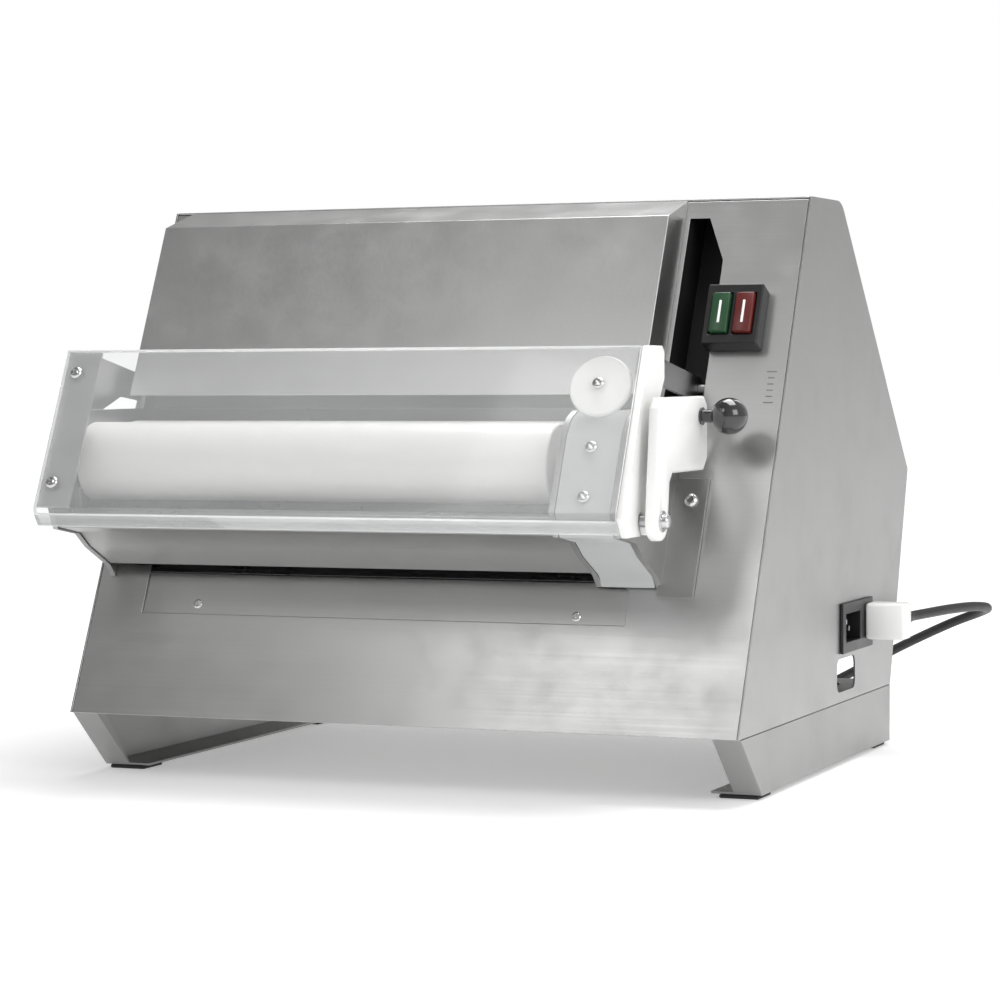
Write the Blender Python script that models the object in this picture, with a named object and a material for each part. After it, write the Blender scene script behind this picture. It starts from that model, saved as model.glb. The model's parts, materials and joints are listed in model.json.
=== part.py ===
"""Benchtop dough sheeter with one pair of rollers.

A sheet-steel housing with a leaning front stands on two foot rails. The roller head hangs on the
front: a driven rear roller, a front roller on sliding blocks that a cam shaft holds to the set gap,
a hopper chute above them, and a clear guard that swings up on hinge arms. A gear motor inside the
housing drives the rear roller by a belt.

Units are metres. +X is to the operator's right, -Y is towards the operator, +Z is up. The origin is
the middle of the machine's footprint, on the surface that it stands on. Every piece hangs on one
empty, the datum, which lies at the bottom front edge of the housing: in the comments and names below,
"depth" is the distance behind that edge and "height" the distance above it.
"""

import math

import bmesh
import bpy
from mathutils import Vector

# Housing
BODY_WIDTH = 0.500
BODY_HEIGHT = 0.362
BODY_DEPTH = 0.430
FRONT_LEAN = math.radians(25.0)
TOP_DEPTH = 0.076
KNEE_HEIGHT = 0.163
REAR_INSET = 0.053
VENT_HEIGHT = 0.045
SHEET = 0.0015
GAP = 0.0003
HEM = 0.016
TOP_ROUND = 0.010

# Foot rails and pads
FOOT_HEIGHT = 0.046
FOOT_WIDTH = 0.036
FOOT_SETBACK = 0.051
FOOT_SHEET = 0.002
FOOT_LIP = 0.020
PAD_THICK = 0.003
PAD_SIZE = 0.028

# Rollers and their drive
ROLLER_RADIUS = 0.028
ROLLER_LEFT_END = 0.007
ROLLER_RIGHT_END = 0.012
ROLLER_HEIGHT = 0.179
FRONT_ROLLER_DEPTH = 0.011
ROLLER_GAP = 0.002
GAP_TRAVEL = 0.003
SHAFT_RADIUS = 0.008
RUNNING = 0.0003
GEAR_TEETH = 20
GEAR_ADDENDUM = 0.0026
GEAR_DEDENDUM = 0.0034
GEAR_WIDTH = 0.008
PULLEY_WIDTH = 0.014
ROLLER_PULLEY_RADIUS = 0.022
MOTOR_PULLEY_RADIUS = 0.016
BELT_THICK = 0.0025
MOTOR_DEPTH = 0.235
MOTOR_HEIGHT = 0.105
MOTOR_RADIUS = 0.045
MOTOR_LENGTH = 0.135
GEARBOX_LENGTH = 0.079
MOTOR_SHAFT_RADIUS = 0.007

# Roller head
HEAD_ROOM = 0.0085
PLATE = 0.004
LEFT_PLATE_MARGIN = 0.010
COLUMN_WIDTH = 0.072
GEAR_CASE_WIDTH = 0.043
COVER_THICK = 0.002
BEARING_RADIUS = 0.012
BLOCK_SIZE = 0.022
BLOCK_FLANGE = 0.029
CAM_DEPTH = -0.018
CAM_HEIGHT = 0.1435
CAM_RADIUS = 0.0105
CAM_CLEARANCE = 0.0008
CAM_SHAFT_RADIUS = 0.004
LEVER_SWING = 60.0
LEVER_THICK = 0.008
BALL_RADIUS = 0.0125

# Guard
GUARD_ROOM = 0.093
GUARD_TOP = 0.258
GUARD_DROP = 0.005
GUARD_MARGIN = 0.003
GUARD_THICK = 0.003
GUARD_END_THICK = 0.005
BOSS_RADIUS = 0.0215
HINGE_DEPTH = 0.118
HINGE_HEIGHT = 0.2275
HINGE_PIN_RADIUS = 0.004
ARM_EYE_RADIUS = 0.009

# Hopper chute
CHUTE_STANDOFF = 0.038
CHUTE_BOTTOM = 0.225
CHUTE_SHOULDER_DROP = 0.013

# Openings of the front panel
OUTLET_LOW = 0.070
OUTLET_HIGH = 0.104
OUTLET_CHAMFER = 0.012
ARM_SLOT_WIDTH = 0.0285
ARM_SLOT_LOW = 0.215
ARM_SLOT_TOP_DROP = 0.014

# Switch
SWITCH_RIGHT_MARGIN = 0.021
SWITCH_WIDTH = 0.040
SWITCH_HEIGHT = 0.045
SWITCH_LEVEL = 0.2745
SWITCH_PROUD = 0.014
BUTTON_TRAVEL = 0.002

# Mains inlet on the right side, and its cord
INLET_REAR_MARGIN = 0.1113
INLET_LENGTH = 0.0800
INLET_LOW = 0.0350
INLET_HEIGHT = 0.0365
INLET_FLANGE = 0.0022
CONNECTOR_LENGTH = 0.0213
RELIEF_LENGTH = 0.0294
CORD_RADIUS = 0.00375
CORD_END_CLEARANCE = 0.0013
COIL_RADIUS = 0.042
# The cord's route: right of its start, behind its start, share of the drop to the floor still left.
CORD_ROUTE = (
    (0.0000, 0.0000, 1.000),
    (0.0060, 0.0272, 1.005),
    (0.0150, 0.0672, 1.010),
    (0.0230, 0.1072, 1.000),
    (0.0255, 0.1422, 0.964),
    (0.0130, 0.1742, 0.902),
    (-0.0170, 0.1872, 0.778),
    (-0.0580, 0.1852, 0.571),
    (-0.1010, 0.1792, 0.323),
    (-0.1380, 0.1712, 0.126),
    (-0.1700, 0.1657, 0.028),
    (-0.1990, 0.1630, 0.000),
    (-0.2250, 0.1622, 0.000),
)
COIL_BESIDE = 0.028
COIL_BEHIND = 0.0500
PLUG_LENGTH = 0.046
PLUG_WIDTH = 0.032
PLUG_THICK = 0.026

HALF = BODY_WIDTH / 2
INNER_HALF = HALF - SHEET - GAP
SLOPE = math.tan(FRONT_LEAN)
SHEET_RUN = SHEET / math.cos(FRONT_LEAN)
REAR_ROLLER_DEPTH = FRONT_ROLLER_DEPTH + 2 * ROLLER_RADIUS + ROLLER_GAP
ROLLER_LOW = ROLLER_HEIGHT - ROLLER_RADIUS
HEAD_TOP = ROLLER_HEIGHT + ROLLER_RADIUS + HEAD_ROOM
GUARD_STANDOFF = ROLLER_RADIUS + GUARD_ROOM
GUARD_BOTTOM = ROLLER_LOW - GUARD_DROP
LEFT_PLATE_X = -HALF + LEFT_PLATE_MARGIN
OUTER_PLATE_X = HALF - COLUMN_WIDTH
INNER_PLATE_X = OUTER_PLATE_X - GEAR_CASE_WIDTH
ROLLER_LEFT = LEFT_PLATE_X + ROLLER_LEFT_END
ROLLER_RIGHT = INNER_PLATE_X - ROLLER_RIGHT_END
GEAR_LEFT = INNER_PLATE_X + PLATE + 0.007
GUARD_LEFT = -HALF + GUARD_MARGIN
GUARD_RIGHT = OUTER_PLATE_X + PLATE + 0.0022
ARM_LEFT_X = GUARD_LEFT + 0.0005
ARM_RIGHT_X = GUARD_RIGHT - 0.003
CHUTE_LEFT = LEFT_PLATE_X + PLATE
CHUTE_RIGHT = OUTER_PLATE_X - 0.018
CHUTE_SHOULDER = BODY_HEIGHT - CHUTE_SHOULDER_DROP
OUTLET_LEFT = LEFT_PLATE_X + 0.031
OUTLET_RIGHT = OUTER_PLATE_X - 0.019
ARM_SLOT_LEFT = OUTER_PLATE_X - 0.015
ARM_SLOT_RIGHT = ARM_SLOT_LEFT + ARM_SLOT_WIDTH
ARM_SLOT_HIGH = BODY_HEIGHT - ARM_SLOT_TOP_DROP
LEVER_X = OUTER_PLATE_X + 0.018
SWITCH_X = HALF - SWITCH_RIGHT_MARGIN - SWITCH_WIDTH / 2
PULLEY_LEFT = OUTER_PLATE_X - 0.006 - PULLEY_WIDTH
GEARBOX_RIGHT = OUTER_PLATE_X - 0.0785
INLET_FRONT = BODY_DEPTH - INLET_REAR_MARGIN - INLET_LENGTH
HINGE = (HINGE_DEPTH, HINGE_HEIGHT)
CAM_AXIS = (CAM_DEPTH, CAM_HEIGHT)
CORD_START = Vector((HALF + 0.023, INLET_FRONT + 0.1091, INLET_LOW + 0.0195))
CORD_LIE = -FOOT_HEIGHT + CORD_RADIUS + 0.0002
REAR_ROLLER = (REAR_ROLLER_DEPTH, ROLLER_HEIGHT)
FRONT_ROLLER = (FRONT_ROLLER_DEPTH, ROLLER_HEIGHT)
MOTOR = (MOTOR_DEPTH, MOTOR_HEIGHT)


def front(height, proud=0.0):
    """Depth of the leaning front face at a height, moved forward by proud."""
    return height * SLOPE - proud


GUARD_FRONT_DEPTH = front(GUARD_BOTTOM, GUARD_STANDOFF)
DATUM = Vector((-(GAP + INLET_FLANGE) / 2, -(GUARD_FRONT_DEPTH + BODY_DEPTH) / 2, FOOT_HEIGHT))

STEEL = ("brushed_stainless", (0.60, 0.60, 0.59), 0.32, 1.0)
DARK_STEEL = ("plain_steel", (0.36, 0.36, 0.37), 0.35, 1.0)
WHITE_PLASTIC = ("white_plastic", (0.86, 0.86, 0.84), 0.35, 0.0)
BLACK_PLASTIC = ("black_plastic", (0.02, 0.02, 0.02), 0.40, 0.0)
GREY_PLASTIC = ("grey_plastic", (0.62, 0.63, 0.62), 0.40, 0.0)
CLEAR_PLASTIC = ("clear_polycarbonate", (0.85, 0.87, 0.88), 0.08, 0.0)
RUBBER = ("black_rubber", (0.03, 0.03, 0.03), 0.75, 0.0)
BRONZE = ("bronze", (0.55, 0.38, 0.18), 0.38, 1.0)
PAINT = ("motor_paint", (0.10, 0.12, 0.14), 0.45, 0.0)
GREEN = ("green_button", (0.05, 0.28, 0.10), 0.35, 0.0)
RED = ("red_button", (0.45, 0.03, 0.03), 0.35, 0.0)


def clear_scene():
    """Remove whatever the scene holds."""
    for item in list(bpy.data.objects):
        bpy.data.objects.remove(item, do_unlink=True)


def finish_of(spec):
    """The Principled material of a finish, made once."""
    name, colour, roughness, metallic = spec
    material = bpy.data.materials.get(name)
    if material is None:
        material = bpy.data.materials.new(name)
        material.use_nodes = True
        shader = material.node_tree.nodes["Principled BSDF"]
        shader.inputs["Base Color"].default_value = (*colour, 1.0)
        shader.inputs["Roughness"].default_value = roughness
        shader.inputs["Metallic"].default_value = metallic
        material.diffuse_color = (*colour, 1.0)
    return material


def add_mesh(name, bm, spec, origin):
    """Link a bmesh as an object whose origin is a point in datum coordinates."""
    bmesh.ops.recalc_face_normals(bm, faces=bm.faces)
    mesh = bpy.data.meshes.new(name)
    bm.to_mesh(mesh)
    bm.free()
    piece = bpy.data.objects.new(name, mesh)
    if spec is not None:
        mesh.materials.append(finish_of(spec))
    piece.parent = bpy.data.objects["datum"]
    piece.location = origin
    bpy.context.scene.collection.objects.link(piece)
    return piece


def place(axis, u, v, along):
    """A point from its two outline coordinates and its position along the axis."""
    if axis == "X":
        return Vector((along, u, v))
    if axis == "Y":
        return Vector((u, along, v))
    return Vector((u, v, along))


def middle(points):
    """The middle of the points' box."""
    low = [min(p[i] for p in points) for i in range(3)]
    high = [max(p[i] for p in points) for i in range(3)]
    return Vector([(a + b) / 2 for a, b in zip(low, high)])


def prism(name, outline, axis, low, high, spec, origin=None):
    """A straight solid with a flat outline, from low to high along an axis."""
    corners = [place(axis, u, v, low) for u, v in outline]
    far = [place(axis, u, v, high) for u, v in outline]
    origin = middle(corners + far) if origin is None else Vector(origin)
    bm = bmesh.new()
    base = bm.faces.new([bm.verts.new(p - origin) for p in corners])
    grown = bmesh.ops.extrude_face_region(bm, geom=[base])
    moved = [item for item in grown["geom"] if isinstance(item, bmesh.types.BMVert)]
    bmesh.ops.translate(bm, verts=moved, vec=far[0] - corners[0])
    return add_mesh(name, bm, spec, origin)


def ring_prism(name, outer, inner, low, high, spec, origin):
    """A straight tube along X between two outlines with the same number of points."""
    origin = Vector(origin)
    bm = bmesh.new()
    loops = [
        [bm.verts.new(place("X", u, v, x) - origin) for u, v in outline]
        for outline, x in ((outer, low), (outer, high), (inner, high), (inner, low))
    ]
    count = len(outer)
    for first, second in zip(loops, loops[1:] + loops[:1]):
        for i in range(count):
            j = (i + 1) % count
            bm.faces.new((first[i], first[j], second[j], second[i]))
    return add_mesh(name, bm, spec, origin)


def box(name, low, high, spec, bevel=0.0, origin=None):
    """A block between two corners, with its edges rounded when bevel is given."""
    outline = [(low[0], low[1]), (high[0], low[1]), (high[0], high[1]), (low[0], high[1])]
    piece = prism(name, outline, "Z", low[2], high[2], spec, origin)
    if bevel:
        round_edges(piece, bevel)
    return piece


def round_edges(piece, width, segments=2, angle=30.0):
    """Round the sharp edges of a piece."""
    bevel = piece.modifiers.new("rounded_edges", "BEVEL")
    bevel.width = width
    bevel.segments = segments
    bevel.limit_method = "ANGLE"
    bevel.angle_limit = math.radians(angle)


def arc(centre, radius, start, end, count):
    """Points along an arc, with the angles in degrees from the first axis to the second."""
    angles = [math.radians(start + (end - start) * i / count) for i in range(count + 1)]
    return [(centre[0] + radius * math.cos(a), centre[1] + radius * math.sin(a)) for a in angles]


def circle(centre, radius, count=32):
    """The outline of a round."""
    return arc(centre, radius, 0.0, 360.0, count)[:-1]


def rod(name, centre, radius, low, high, spec, count=32, origin=None):
    """A round bar along X at a (depth, height) centre."""
    origin = origin or ((low + high) / 2, *centre)
    piece = prism(name, circle(centre, radius, count), "X", low, high, spec, origin)
    return smooth(piece)


def smooth(piece, angle=35.0):
    """Shade a round piece smooth, with its real edges sharp."""
    piece.data.shade_smooth()
    piece.data.set_sharp_from_angle(angle=math.radians(angle))
    return piece


def spun(name, profile, axis, spec, origin, count, closed):
    """A solid turned about an axis through the origin, from points in a plane through it."""
    bm = bmesh.new()
    line = [bm.verts.new(point) for point in profile]
    edges = [bm.edges.new(pair) for pair in zip(line, line[1:])]
    if closed:
        edges.append(bm.edges.new((line[-1], line[0])))
    bmesh.ops.spin(
        bm,
        geom=line + edges,
        cent=(0.0, 0.0, 0.0),
        axis=axis,
        angle=math.tau,
        steps=count,
        use_duplicate=False,
    )
    bmesh.ops.remove_doubles(bm, verts=bm.verts, dist=1e-6)
    return smooth(add_mesh(name, bm, spec, origin))


def turned(name, profile, centre, spec, closed=False, count=32):
    """A solid of revolution about an X axis at (depth, height), from (x, radius) points."""
    origin_x = (profile[0][0] + profile[-1][0]) / 2
    points = [(x - origin_x, 0.0, radius) for x, radius in profile]
    return spun(name, points, (1.0, 0.0, 0.0), spec, (origin_x, *centre), count, closed)


def unit(a, b):
    """The unit vector from a to b in the plane."""
    length = math.hypot(b[0] - a[0], b[1] - a[1])
    return ((b[0] - a[0]) / length, (b[1] - a[1]) / length)


def offset_path(path, distance):
    """The path moved to its left by a distance, with mitred corners."""
    moved = []
    for i, point in enumerate(path):
        before = unit(path[max(i - 1, 0)], path[max(i, 1)])
        after = unit(path[min(i, len(path) - 2)], path[min(i + 1, len(path) - 1)])
        left_before = (-before[1], before[0])
        left_after = (-after[1], after[0])
        spread = 1 + left_before[0] * left_after[0] + left_before[1] * left_after[1]
        scale = distance / spread
        moved.append(
            (
                point[0] + (left_before[0] + left_after[0]) * scale,
                point[1] + (left_before[1] + left_after[1]) * scale,
            )
        )
    return moved


def bent_sheet(name, path, thickness, low, high, spec, origin=None):
    """A sheet folded along a (depth, height) path; its thickness grows to the path's left."""
    outline = list(path) + offset_path(path, thickness)[::-1]
    return prism(name, outline, "X", low, high, spec, origin)


def cut(piece, cutter, operation="DIFFERENCE"):
    """Cut a piece with another solid, or join the two, and leave the other out of the model."""
    boolean = piece.modifiers.new(operation.lower(), "BOOLEAN")
    boolean.operation = operation
    boolean.solver = "EXACT"
    boolean.object = cutter
    cutter.hide_render = True
    cutter.display_type = "WIRE"
    return piece


def hole(piece, centre, radius, low, high, count=24):
    """Drill a round hole along X."""
    return cut(piece, rod(piece.name + "_drill", centre, radius, low, high, None, count))


def lean(piece):
    """Lean a piece back with the front face."""
    piece.rotation_euler.x = -FRONT_LEAN
    return piece


def leaned_box(name, x, height, size, behind, spec, bevel=0.0, proud=0.0):
    """A block square to the front face: size is (width, thickness, length up the slope).

    behind is how far its front lies behind the face, and proud moves the face it is set on forward.
    """
    width, thickness, length = size
    piece = box(
        name,
        (-width / 2, behind, -length / 2),
        (width / 2, behind + thickness, length / 2),
        spec,
        bevel,
        (0.0, 0.0, 0.0),
    )
    piece.location = (x, front(height, proud), height)
    return lean(piece)


def make_datum():
    """The empty that carries every piece."""
    datum = bpy.data.objects.new("datum", None)
    datum.location = DATUM
    bpy.context.scene.collection.objects.link(datum)


def hang_on(name, point, piece):
    """Hang a piece on an empty that lies on the axis it turns about."""
    axis = bpy.data.objects.new(name, None)
    axis.parent = bpy.data.objects["datum"]
    axis.location = point
    bpy.context.scene.collection.objects.link(axis)
    piece.parent = axis
    piece.location -= Vector(point)


def rear_depth(height):
    """Depth of the rear wall below the knee."""
    return BODY_DEPTH - REAR_INSET * (KNEE_HEIGHT - height) / KNEE_HEIGHT


def top_back():
    """The point where the top would meet the rear slope without its round."""
    return (front(BODY_HEIGHT) + TOP_DEPTH, BODY_HEIGHT)


def top_bend():
    """Points around the rounded bend between the top and the rear slope."""
    corner = top_back()
    along = unit(corner, (BODY_DEPTH, KNEE_HEIGHT))
    start = (corner[0] - TOP_ROUND, corner[1])
    end = (corner[0] + along[0] * TOP_ROUND, corner[1] + along[1] * TOP_ROUND)
    points = []
    for step in range(5):
        t = step / 4
        points.append(
            tuple(
                (1 - t) ** 2 * a + 2 * t * (1 - t) * c + t * t * b
                for a, c, b in zip(start, corner, end)
            )
        )
    return points


def side_outline():
    """The outline of a side panel."""
    return [
        (0.0, 0.0),
        (front(BODY_HEIGHT), BODY_HEIGHT),
        *top_bend(),
        (BODY_DEPTH, KNEE_HEIGHT),
        (rear_depth(0.0), 0.0),
    ]


def make_side_panels():
    """The two side panels; the right one is cut for the mains inlet and a hand slot."""
    prism("left_side_panel", side_outline(), "X", -HALF, -HALF + SHEET, STEEL)
    right = prism("right_side_panel", side_outline(), "X", HALF - SHEET, HALF, STEEL)
    inlet_cut = box(
        "inlet_cutter",
        (HALF - 0.01, INLET_FRONT + 0.004, INLET_LOW + 0.004),
        (HALF + 0.01, INLET_FRONT + INLET_LENGTH - 0.004, INLET_LOW + INLET_HEIGHT - 0.004),
        None,
    )
    cut(right, inlet_cut)
    low, high = 0.0075, 0.0315
    front_end, rear_end, radius = 0.231, 0.279, 0.006
    outline = (
        arc((rear_end - radius, high - radius), radius, 0, 90, 3)
        + arc((front_end + radius, high - radius), radius, 90, 180, 3)
        + arc((front_end + radius, low + radius), radius, 180, 270, 3)
        + arc((rear_end - radius, low + radius), radius, 270, 360, 3)
    )
    cut(right, prism("slot_cutter", outline, "X", HALF - 0.01, HALF + 0.01, None))


def make_front_panel():
    """The leaning front with its roller window, outlet, arm slots and switch hole."""
    top = BODY_HEIGHT - SHEET - GAP
    path = [(front(top), top), (0.0, 0.0), (HEM, 0.0)]
    panel = bent_sheet("front_panel", path, SHEET, -INNER_HALF, INNER_HALF, STEEL)
    deep = (-0.05, 0.25)
    window_left = LEFT_PLATE_X - 0.0048
    window = [
        (window_left, OUTLET_HIGH - 0.001),
        (OUTER_PLATE_X - 0.0005, OUTLET_HIGH - 0.001),
        (OUTER_PLATE_X - 0.0005, HEAD_TOP - GAP),
        (window_left, HEAD_TOP - GAP),
    ]
    outlet = [
        (OUTLET_LEFT, OUTLET_LOW),
        (OUTLET_RIGHT, OUTLET_LOW),
        (OUTLET_RIGHT, OUTLET_HIGH - OUTLET_CHAMFER),
        (OUTLET_RIGHT - OUTLET_CHAMFER, OUTLET_HIGH),
        (OUTLET_LEFT, OUTLET_HIGH),
    ]
    right_slot = [
        (ARM_SLOT_LEFT, ARM_SLOT_LOW),
        (ARM_SLOT_RIGHT, ARM_SLOT_LOW),
        (ARM_SLOT_RIGHT, ARM_SLOT_HIGH - 0.030),
        (ARM_SLOT_RIGHT - 0.014, ARM_SLOT_HIGH),
        (ARM_SLOT_LEFT, ARM_SLOT_HIGH),
    ]
    left_slot = [
        (-INNER_HALF + 0.0012, 0.200),
        (LEFT_PLATE_X + PLATE + 0.0008, 0.200),
        (LEFT_PLATE_X + PLATE + 0.0008, 0.272),
        (-INNER_HALF + 0.0012, 0.272),
    ]
    for name, outline in (
        ("window_cutter", window),
        ("outlet_cutter", outlet),
        ("right_slot_cutter", right_slot),
        ("left_slot_cutter", left_slot),
    ):
        cut(panel, prism(name, outline, "Y", *deep, None))
    switch_hole = leaned_box(
        "switch_hole_cutter",
        SWITCH_X,
        SWITCH_LEVEL,
        (SWITCH_WIDTH - 0.0134, 0.03, SWITCH_HEIGHT - 0.0094),
        -0.015,
        None,
    )
    cut(panel, switch_hole)


def make_covers():
    """The top cover, the vented rear cover and the base plate."""
    bend = top_bend()
    along = unit(bend[-1], (BODY_DEPTH, KNEE_HEIGHT))
    flange = 0.018
    top_end = (bend[-1][0] + along[0] * flange, bend[-1][1] + along[1] * flange)
    path = [top_end, *bend[::-1], (front(BODY_HEIGHT), BODY_HEIGHT)]
    bent_sheet("top_cover", path, SHEET, -INNER_HALF, INNER_HALF, STEEL)

    start = (top_end[0] + along[0] * GAP, top_end[1] + along[1] * GAP)
    rear_path = [(rear_depth(VENT_HEIGHT), VENT_HEIGHT), (BODY_DEPTH, KNEE_HEIGHT), start]
    rear = bent_sheet("rear_cover", rear_path, SHEET, -INNER_HALF, INNER_HALF, STEEL)
    for index in range(7):
        x = -0.105 + index * 0.035
        outline = arc((x, 0.128), 0.004, 0, 180, 4) + arc((x, 0.078), 0.004, 180, 360, 4)
        cut(rear, prism(f"vent_cutter_{index}", outline, "Y", 0.36, 0.45, None))

    level = SHEET + GAP
    box(
        "base_plate",
        (-INNER_HALF, 0.004, level),
        (INNER_HALF, rear_depth(level) - 0.002, level + SHEET),
        STEEL,
    )


def make_foot(side, sign):
    """One foot rail of folded sheet, open to the inside, and its two rubber pads."""
    outer = sign * HALF
    inner = sign * (HALF - FOOT_WIDTH)
    low = -FOOT_HEIGHT + PAD_THICK
    front_top, front_low = 0.004, FOOT_SETBACK
    rear_top, rear_low = rear_depth(0.0), rear_depth(0.0) - 0.001
    outline = [(front_top, -GAP), (front_low, low), (rear_low, low), (rear_top, -GAP)]
    foot = prism(f"{side}_foot", outline, "X", min(outer, inner), max(outer, inner), STEEL)
    slant = unit((front_top, -GAP), (front_low, low))
    step = FOOT_SHEET / abs(slant[1])
    hollow = [
        (front_top + step, 0.01),
        (front_low + step - 0.003, low + FOOT_SHEET),
        (rear_low + 0.02, low + FOOT_SHEET),
        (rear_top + 0.02, 0.01),
    ]
    wall = sign * (HALF - FOOT_SHEET)
    lip = sign * (HALF - FOOT_LIP)
    past = sign * (HALF - FOOT_WIDTH - 0.01)
    cut(foot, prism(f"{side}_foot_hollow", hollow, "X", min(wall, past), max(wall, past), None))
    clear = [(-0.01, 0.01), (-0.01, low + FOOT_SHEET), (0.08, low + FOOT_SHEET), (0.08, 0.01)]
    cut(foot, prism(f"{side}_foot_clear", clear, "X", min(lip, past), max(lip, past), None))
    centre = sign * (HALF - 0.017)
    for end, depth in (("front", front_low + PAD_SIZE / 2 + 0.001), ("rear", rear_low - 0.018)):
        pad = box(
            f"{side}_{end}_pad",
            (centre - PAD_SIZE / 2, depth - PAD_SIZE / 2, -FOOT_HEIGHT),
            (centre + PAD_SIZE / 2, depth + PAD_SIZE / 2, low - GAP),
            RUBBER,
        )
        round_edges(pad, 0.0007, 1)


def make_chute():
    """The hopper chute: a pan that stands proud of the front, open at its back and bottom."""
    low = (front(CHUTE_BOTTOM, CHUTE_STANDOFF), CHUTE_BOTTOM)
    shoulder = (front(CHUTE_SHOULDER, CHUTE_STANDOFF), CHUTE_SHOULDER)
    crest_height = BODY_HEIGHT - 0.001
    crest = (front(crest_height, 2 * GAP), crest_height)
    outline = [low, shoulder, crest, (front(CHUTE_BOTTOM, 2 * GAP), CHUTE_BOTTOM)]
    chute = prism("hopper_chute", outline, "X", CHUTE_LEFT, CHUTE_RIGHT, STEEL)
    inside = offset_path([low, shoulder, crest], -SHEET)
    below = 0.02
    hollow = [
        (inside[0][0] - below * SLOPE, inside[0][1] - below),
        inside[1],
        inside[2],
        (inside[2][0] + 0.03, inside[2][1]),
        (front(CHUTE_BOTTOM - below) + 0.03, CHUTE_BOTTOM - below),
    ]
    cut(
        chute,
        prism("chute_hollow", hollow, "X", CHUTE_LEFT + SHEET, CHUTE_RIGHT - SHEET, None),
    )


def cheek_outline():
    """The side outline of the roller head, from the bottom rear corner round the front."""
    cover = GUARD_STANDOFF - (GUARD_THICK + 0.0025) / math.cos(FRONT_LEAN)
    low_corner, low_face = ROLLER_LOW - 0.018, ROLLER_LOW - 0.001
    high_face = HEAD_TOP - 0.0155
    return [
        (front(0.095, 2 * GAP), 0.095),
        (0.036, ROLLER_LOW - 0.0475),
        (0.0065, ROLLER_LOW - 0.0330),
        (-0.007, ROLLER_LOW - 0.0230),
        (front(low_corner, cover) + 0.0159, low_corner),
        (front(low_face, cover), low_face),
        (front(high_face, cover), high_face),
        (-0.012, HEAD_TOP - 0.0050),
        (0.000, HEAD_TOP),
        (front(HEAD_TOP - 0.0005, 2 * GAP), HEAD_TOP),
    ]


def make_head_plates():
    """The three upright plates of the roller head, bored for the rollers' bearings."""
    left_outline = cheek_outline()[:-1] + [
        (front(HEAD_TOP - 0.0005, 0.012), HEAD_TOP),
        (HINGE_DEPTH - 0.022, 0.2380),
        (HINGE_DEPTH + 0.006, 0.2380),
        (HINGE_DEPTH + 0.010, 0.2330),
        (HINGE_DEPTH + 0.010, 0.2200),
        (HINGE_DEPTH, 0.2150),
        (front(0.205, 2 * GAP), 0.2045),
    ]
    left = prism(
        "left_head_plate", left_outline, "X", LEFT_PLATE_X, LEFT_PLATE_X + PLATE, STEEL
    )
    inner = prism(
        "inner_head_plate", cheek_outline(), "X", INNER_PLATE_X, INNER_PLATE_X + PLATE, STEEL
    )
    outer = prism(
        "outer_head_plate", cheek_outline(), "X", OUTER_PLATE_X, OUTER_PLATE_X + PLATE, STEEL
    )
    for plate, x in ((left, LEFT_PLATE_X), (inner, INNER_PLATE_X)):
        hole(plate, REAR_ROLLER, BEARING_RADIUS, x - 0.01, x + 0.02)
        half = BLOCK_SIZE / 2 + RUNNING
        window = box(
            f"{plate.name}_block_cutter",
            (x - 0.01, FRONT_ROLLER_DEPTH - half - GAP_TRAVEL, ROLLER_HEIGHT - half),
            (x + 0.02, FRONT_ROLLER_DEPTH + half, ROLLER_HEIGHT + half),
            None,
        )
        cut(plate, window)
    for plate, x in ((left, LEFT_PLATE_X), (inner, INNER_PLATE_X), (outer, OUTER_PLATE_X)):
        hole(plate, CAM_AXIS, CAM_SHAFT_RADIUS + RUNNING, x - 0.01, x + 0.02, 16)
    hole(left, HINGE, HINGE_PIN_RADIUS + RUNNING, LEFT_PLATE_X - 0.01, LEFT_PLATE_X + 0.02, 16)
    low, high = 0.090, 0.168
    back, face = 2 * GAP, 2 * GAP + 0.0033
    flange = [
        (front(high, back), high),
        (front(low, back), low),
        (front(low, face), low),
        (front(high, face), high),
    ]
    lug_left, lug_right = OUTER_PLATE_X + 0.002, OUTER_PLATE_X + 0.0275
    lug = prism("outer_plate_flange", flange, "X", lug_left, lug_right, None)
    cut(outer, lug, "UNION")


def make_gear_case():
    """The grey cover around the gears, and the sheet that closes the head's bottom."""
    path = cheek_outline()[::-1]
    path[0] = (path[0][0] - COVER_THICK, path[0][1])
    path[-1] = (path[-1][0] - COVER_THICK, path[-1][1])
    low = INNER_PLATE_X + PLATE + GAP
    high = OUTER_PLATE_X - GAP
    bent_sheet("gear_case_cover", path, COVER_THICK, low, high, GREY_PLASTIC)
    outline = cheek_outline()
    sheet = [
        (outline[4][0] + 0.001, outline[4][1] + 0.0012),
        (outline[3][0], outline[3][1] + 0.0012),
        (outline[2][0], outline[2][1] + 0.0012),
        (outline[1][0], outline[1][1] + 0.0012),
    ]
    bent_sheet(
        "deflector",
        sheet,
        SHEET,
        LEFT_PLATE_X + PLATE + GAP,
        INNER_PLATE_X - GAP,
        STEEL,
    )


def make_outlet():
    """The slide plate behind the outlet, and the scraper that leads the dough onto it."""
    back = SHEET_RUN + GAP
    low, high = 0.055, 0.0975
    path = [(front(high) + back, high), (front(low) + back, low)]
    bent_sheet("outlet_slide", path, SHEET, OUTLET_LEFT - 0.012, OUTLET_RIGHT + 0.010, STEEL)
    top = (REAR_ROLLER_DEPTH + 0.0045, ROLLER_HEIGHT - ROLLER_RADIUS - 0.0012)
    scraper = [top, (front(0.101) + 0.006, 0.101), (front(0.0985) + back + 0.0002, 0.0985)]
    bent_sheet(
        "rear_scraper",
        scraper,
        0.0012,
        LEFT_PLATE_X + PLATE + 0.0055,
        INNER_PLATE_X - 0.004,
        STEEL,
    )


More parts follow.
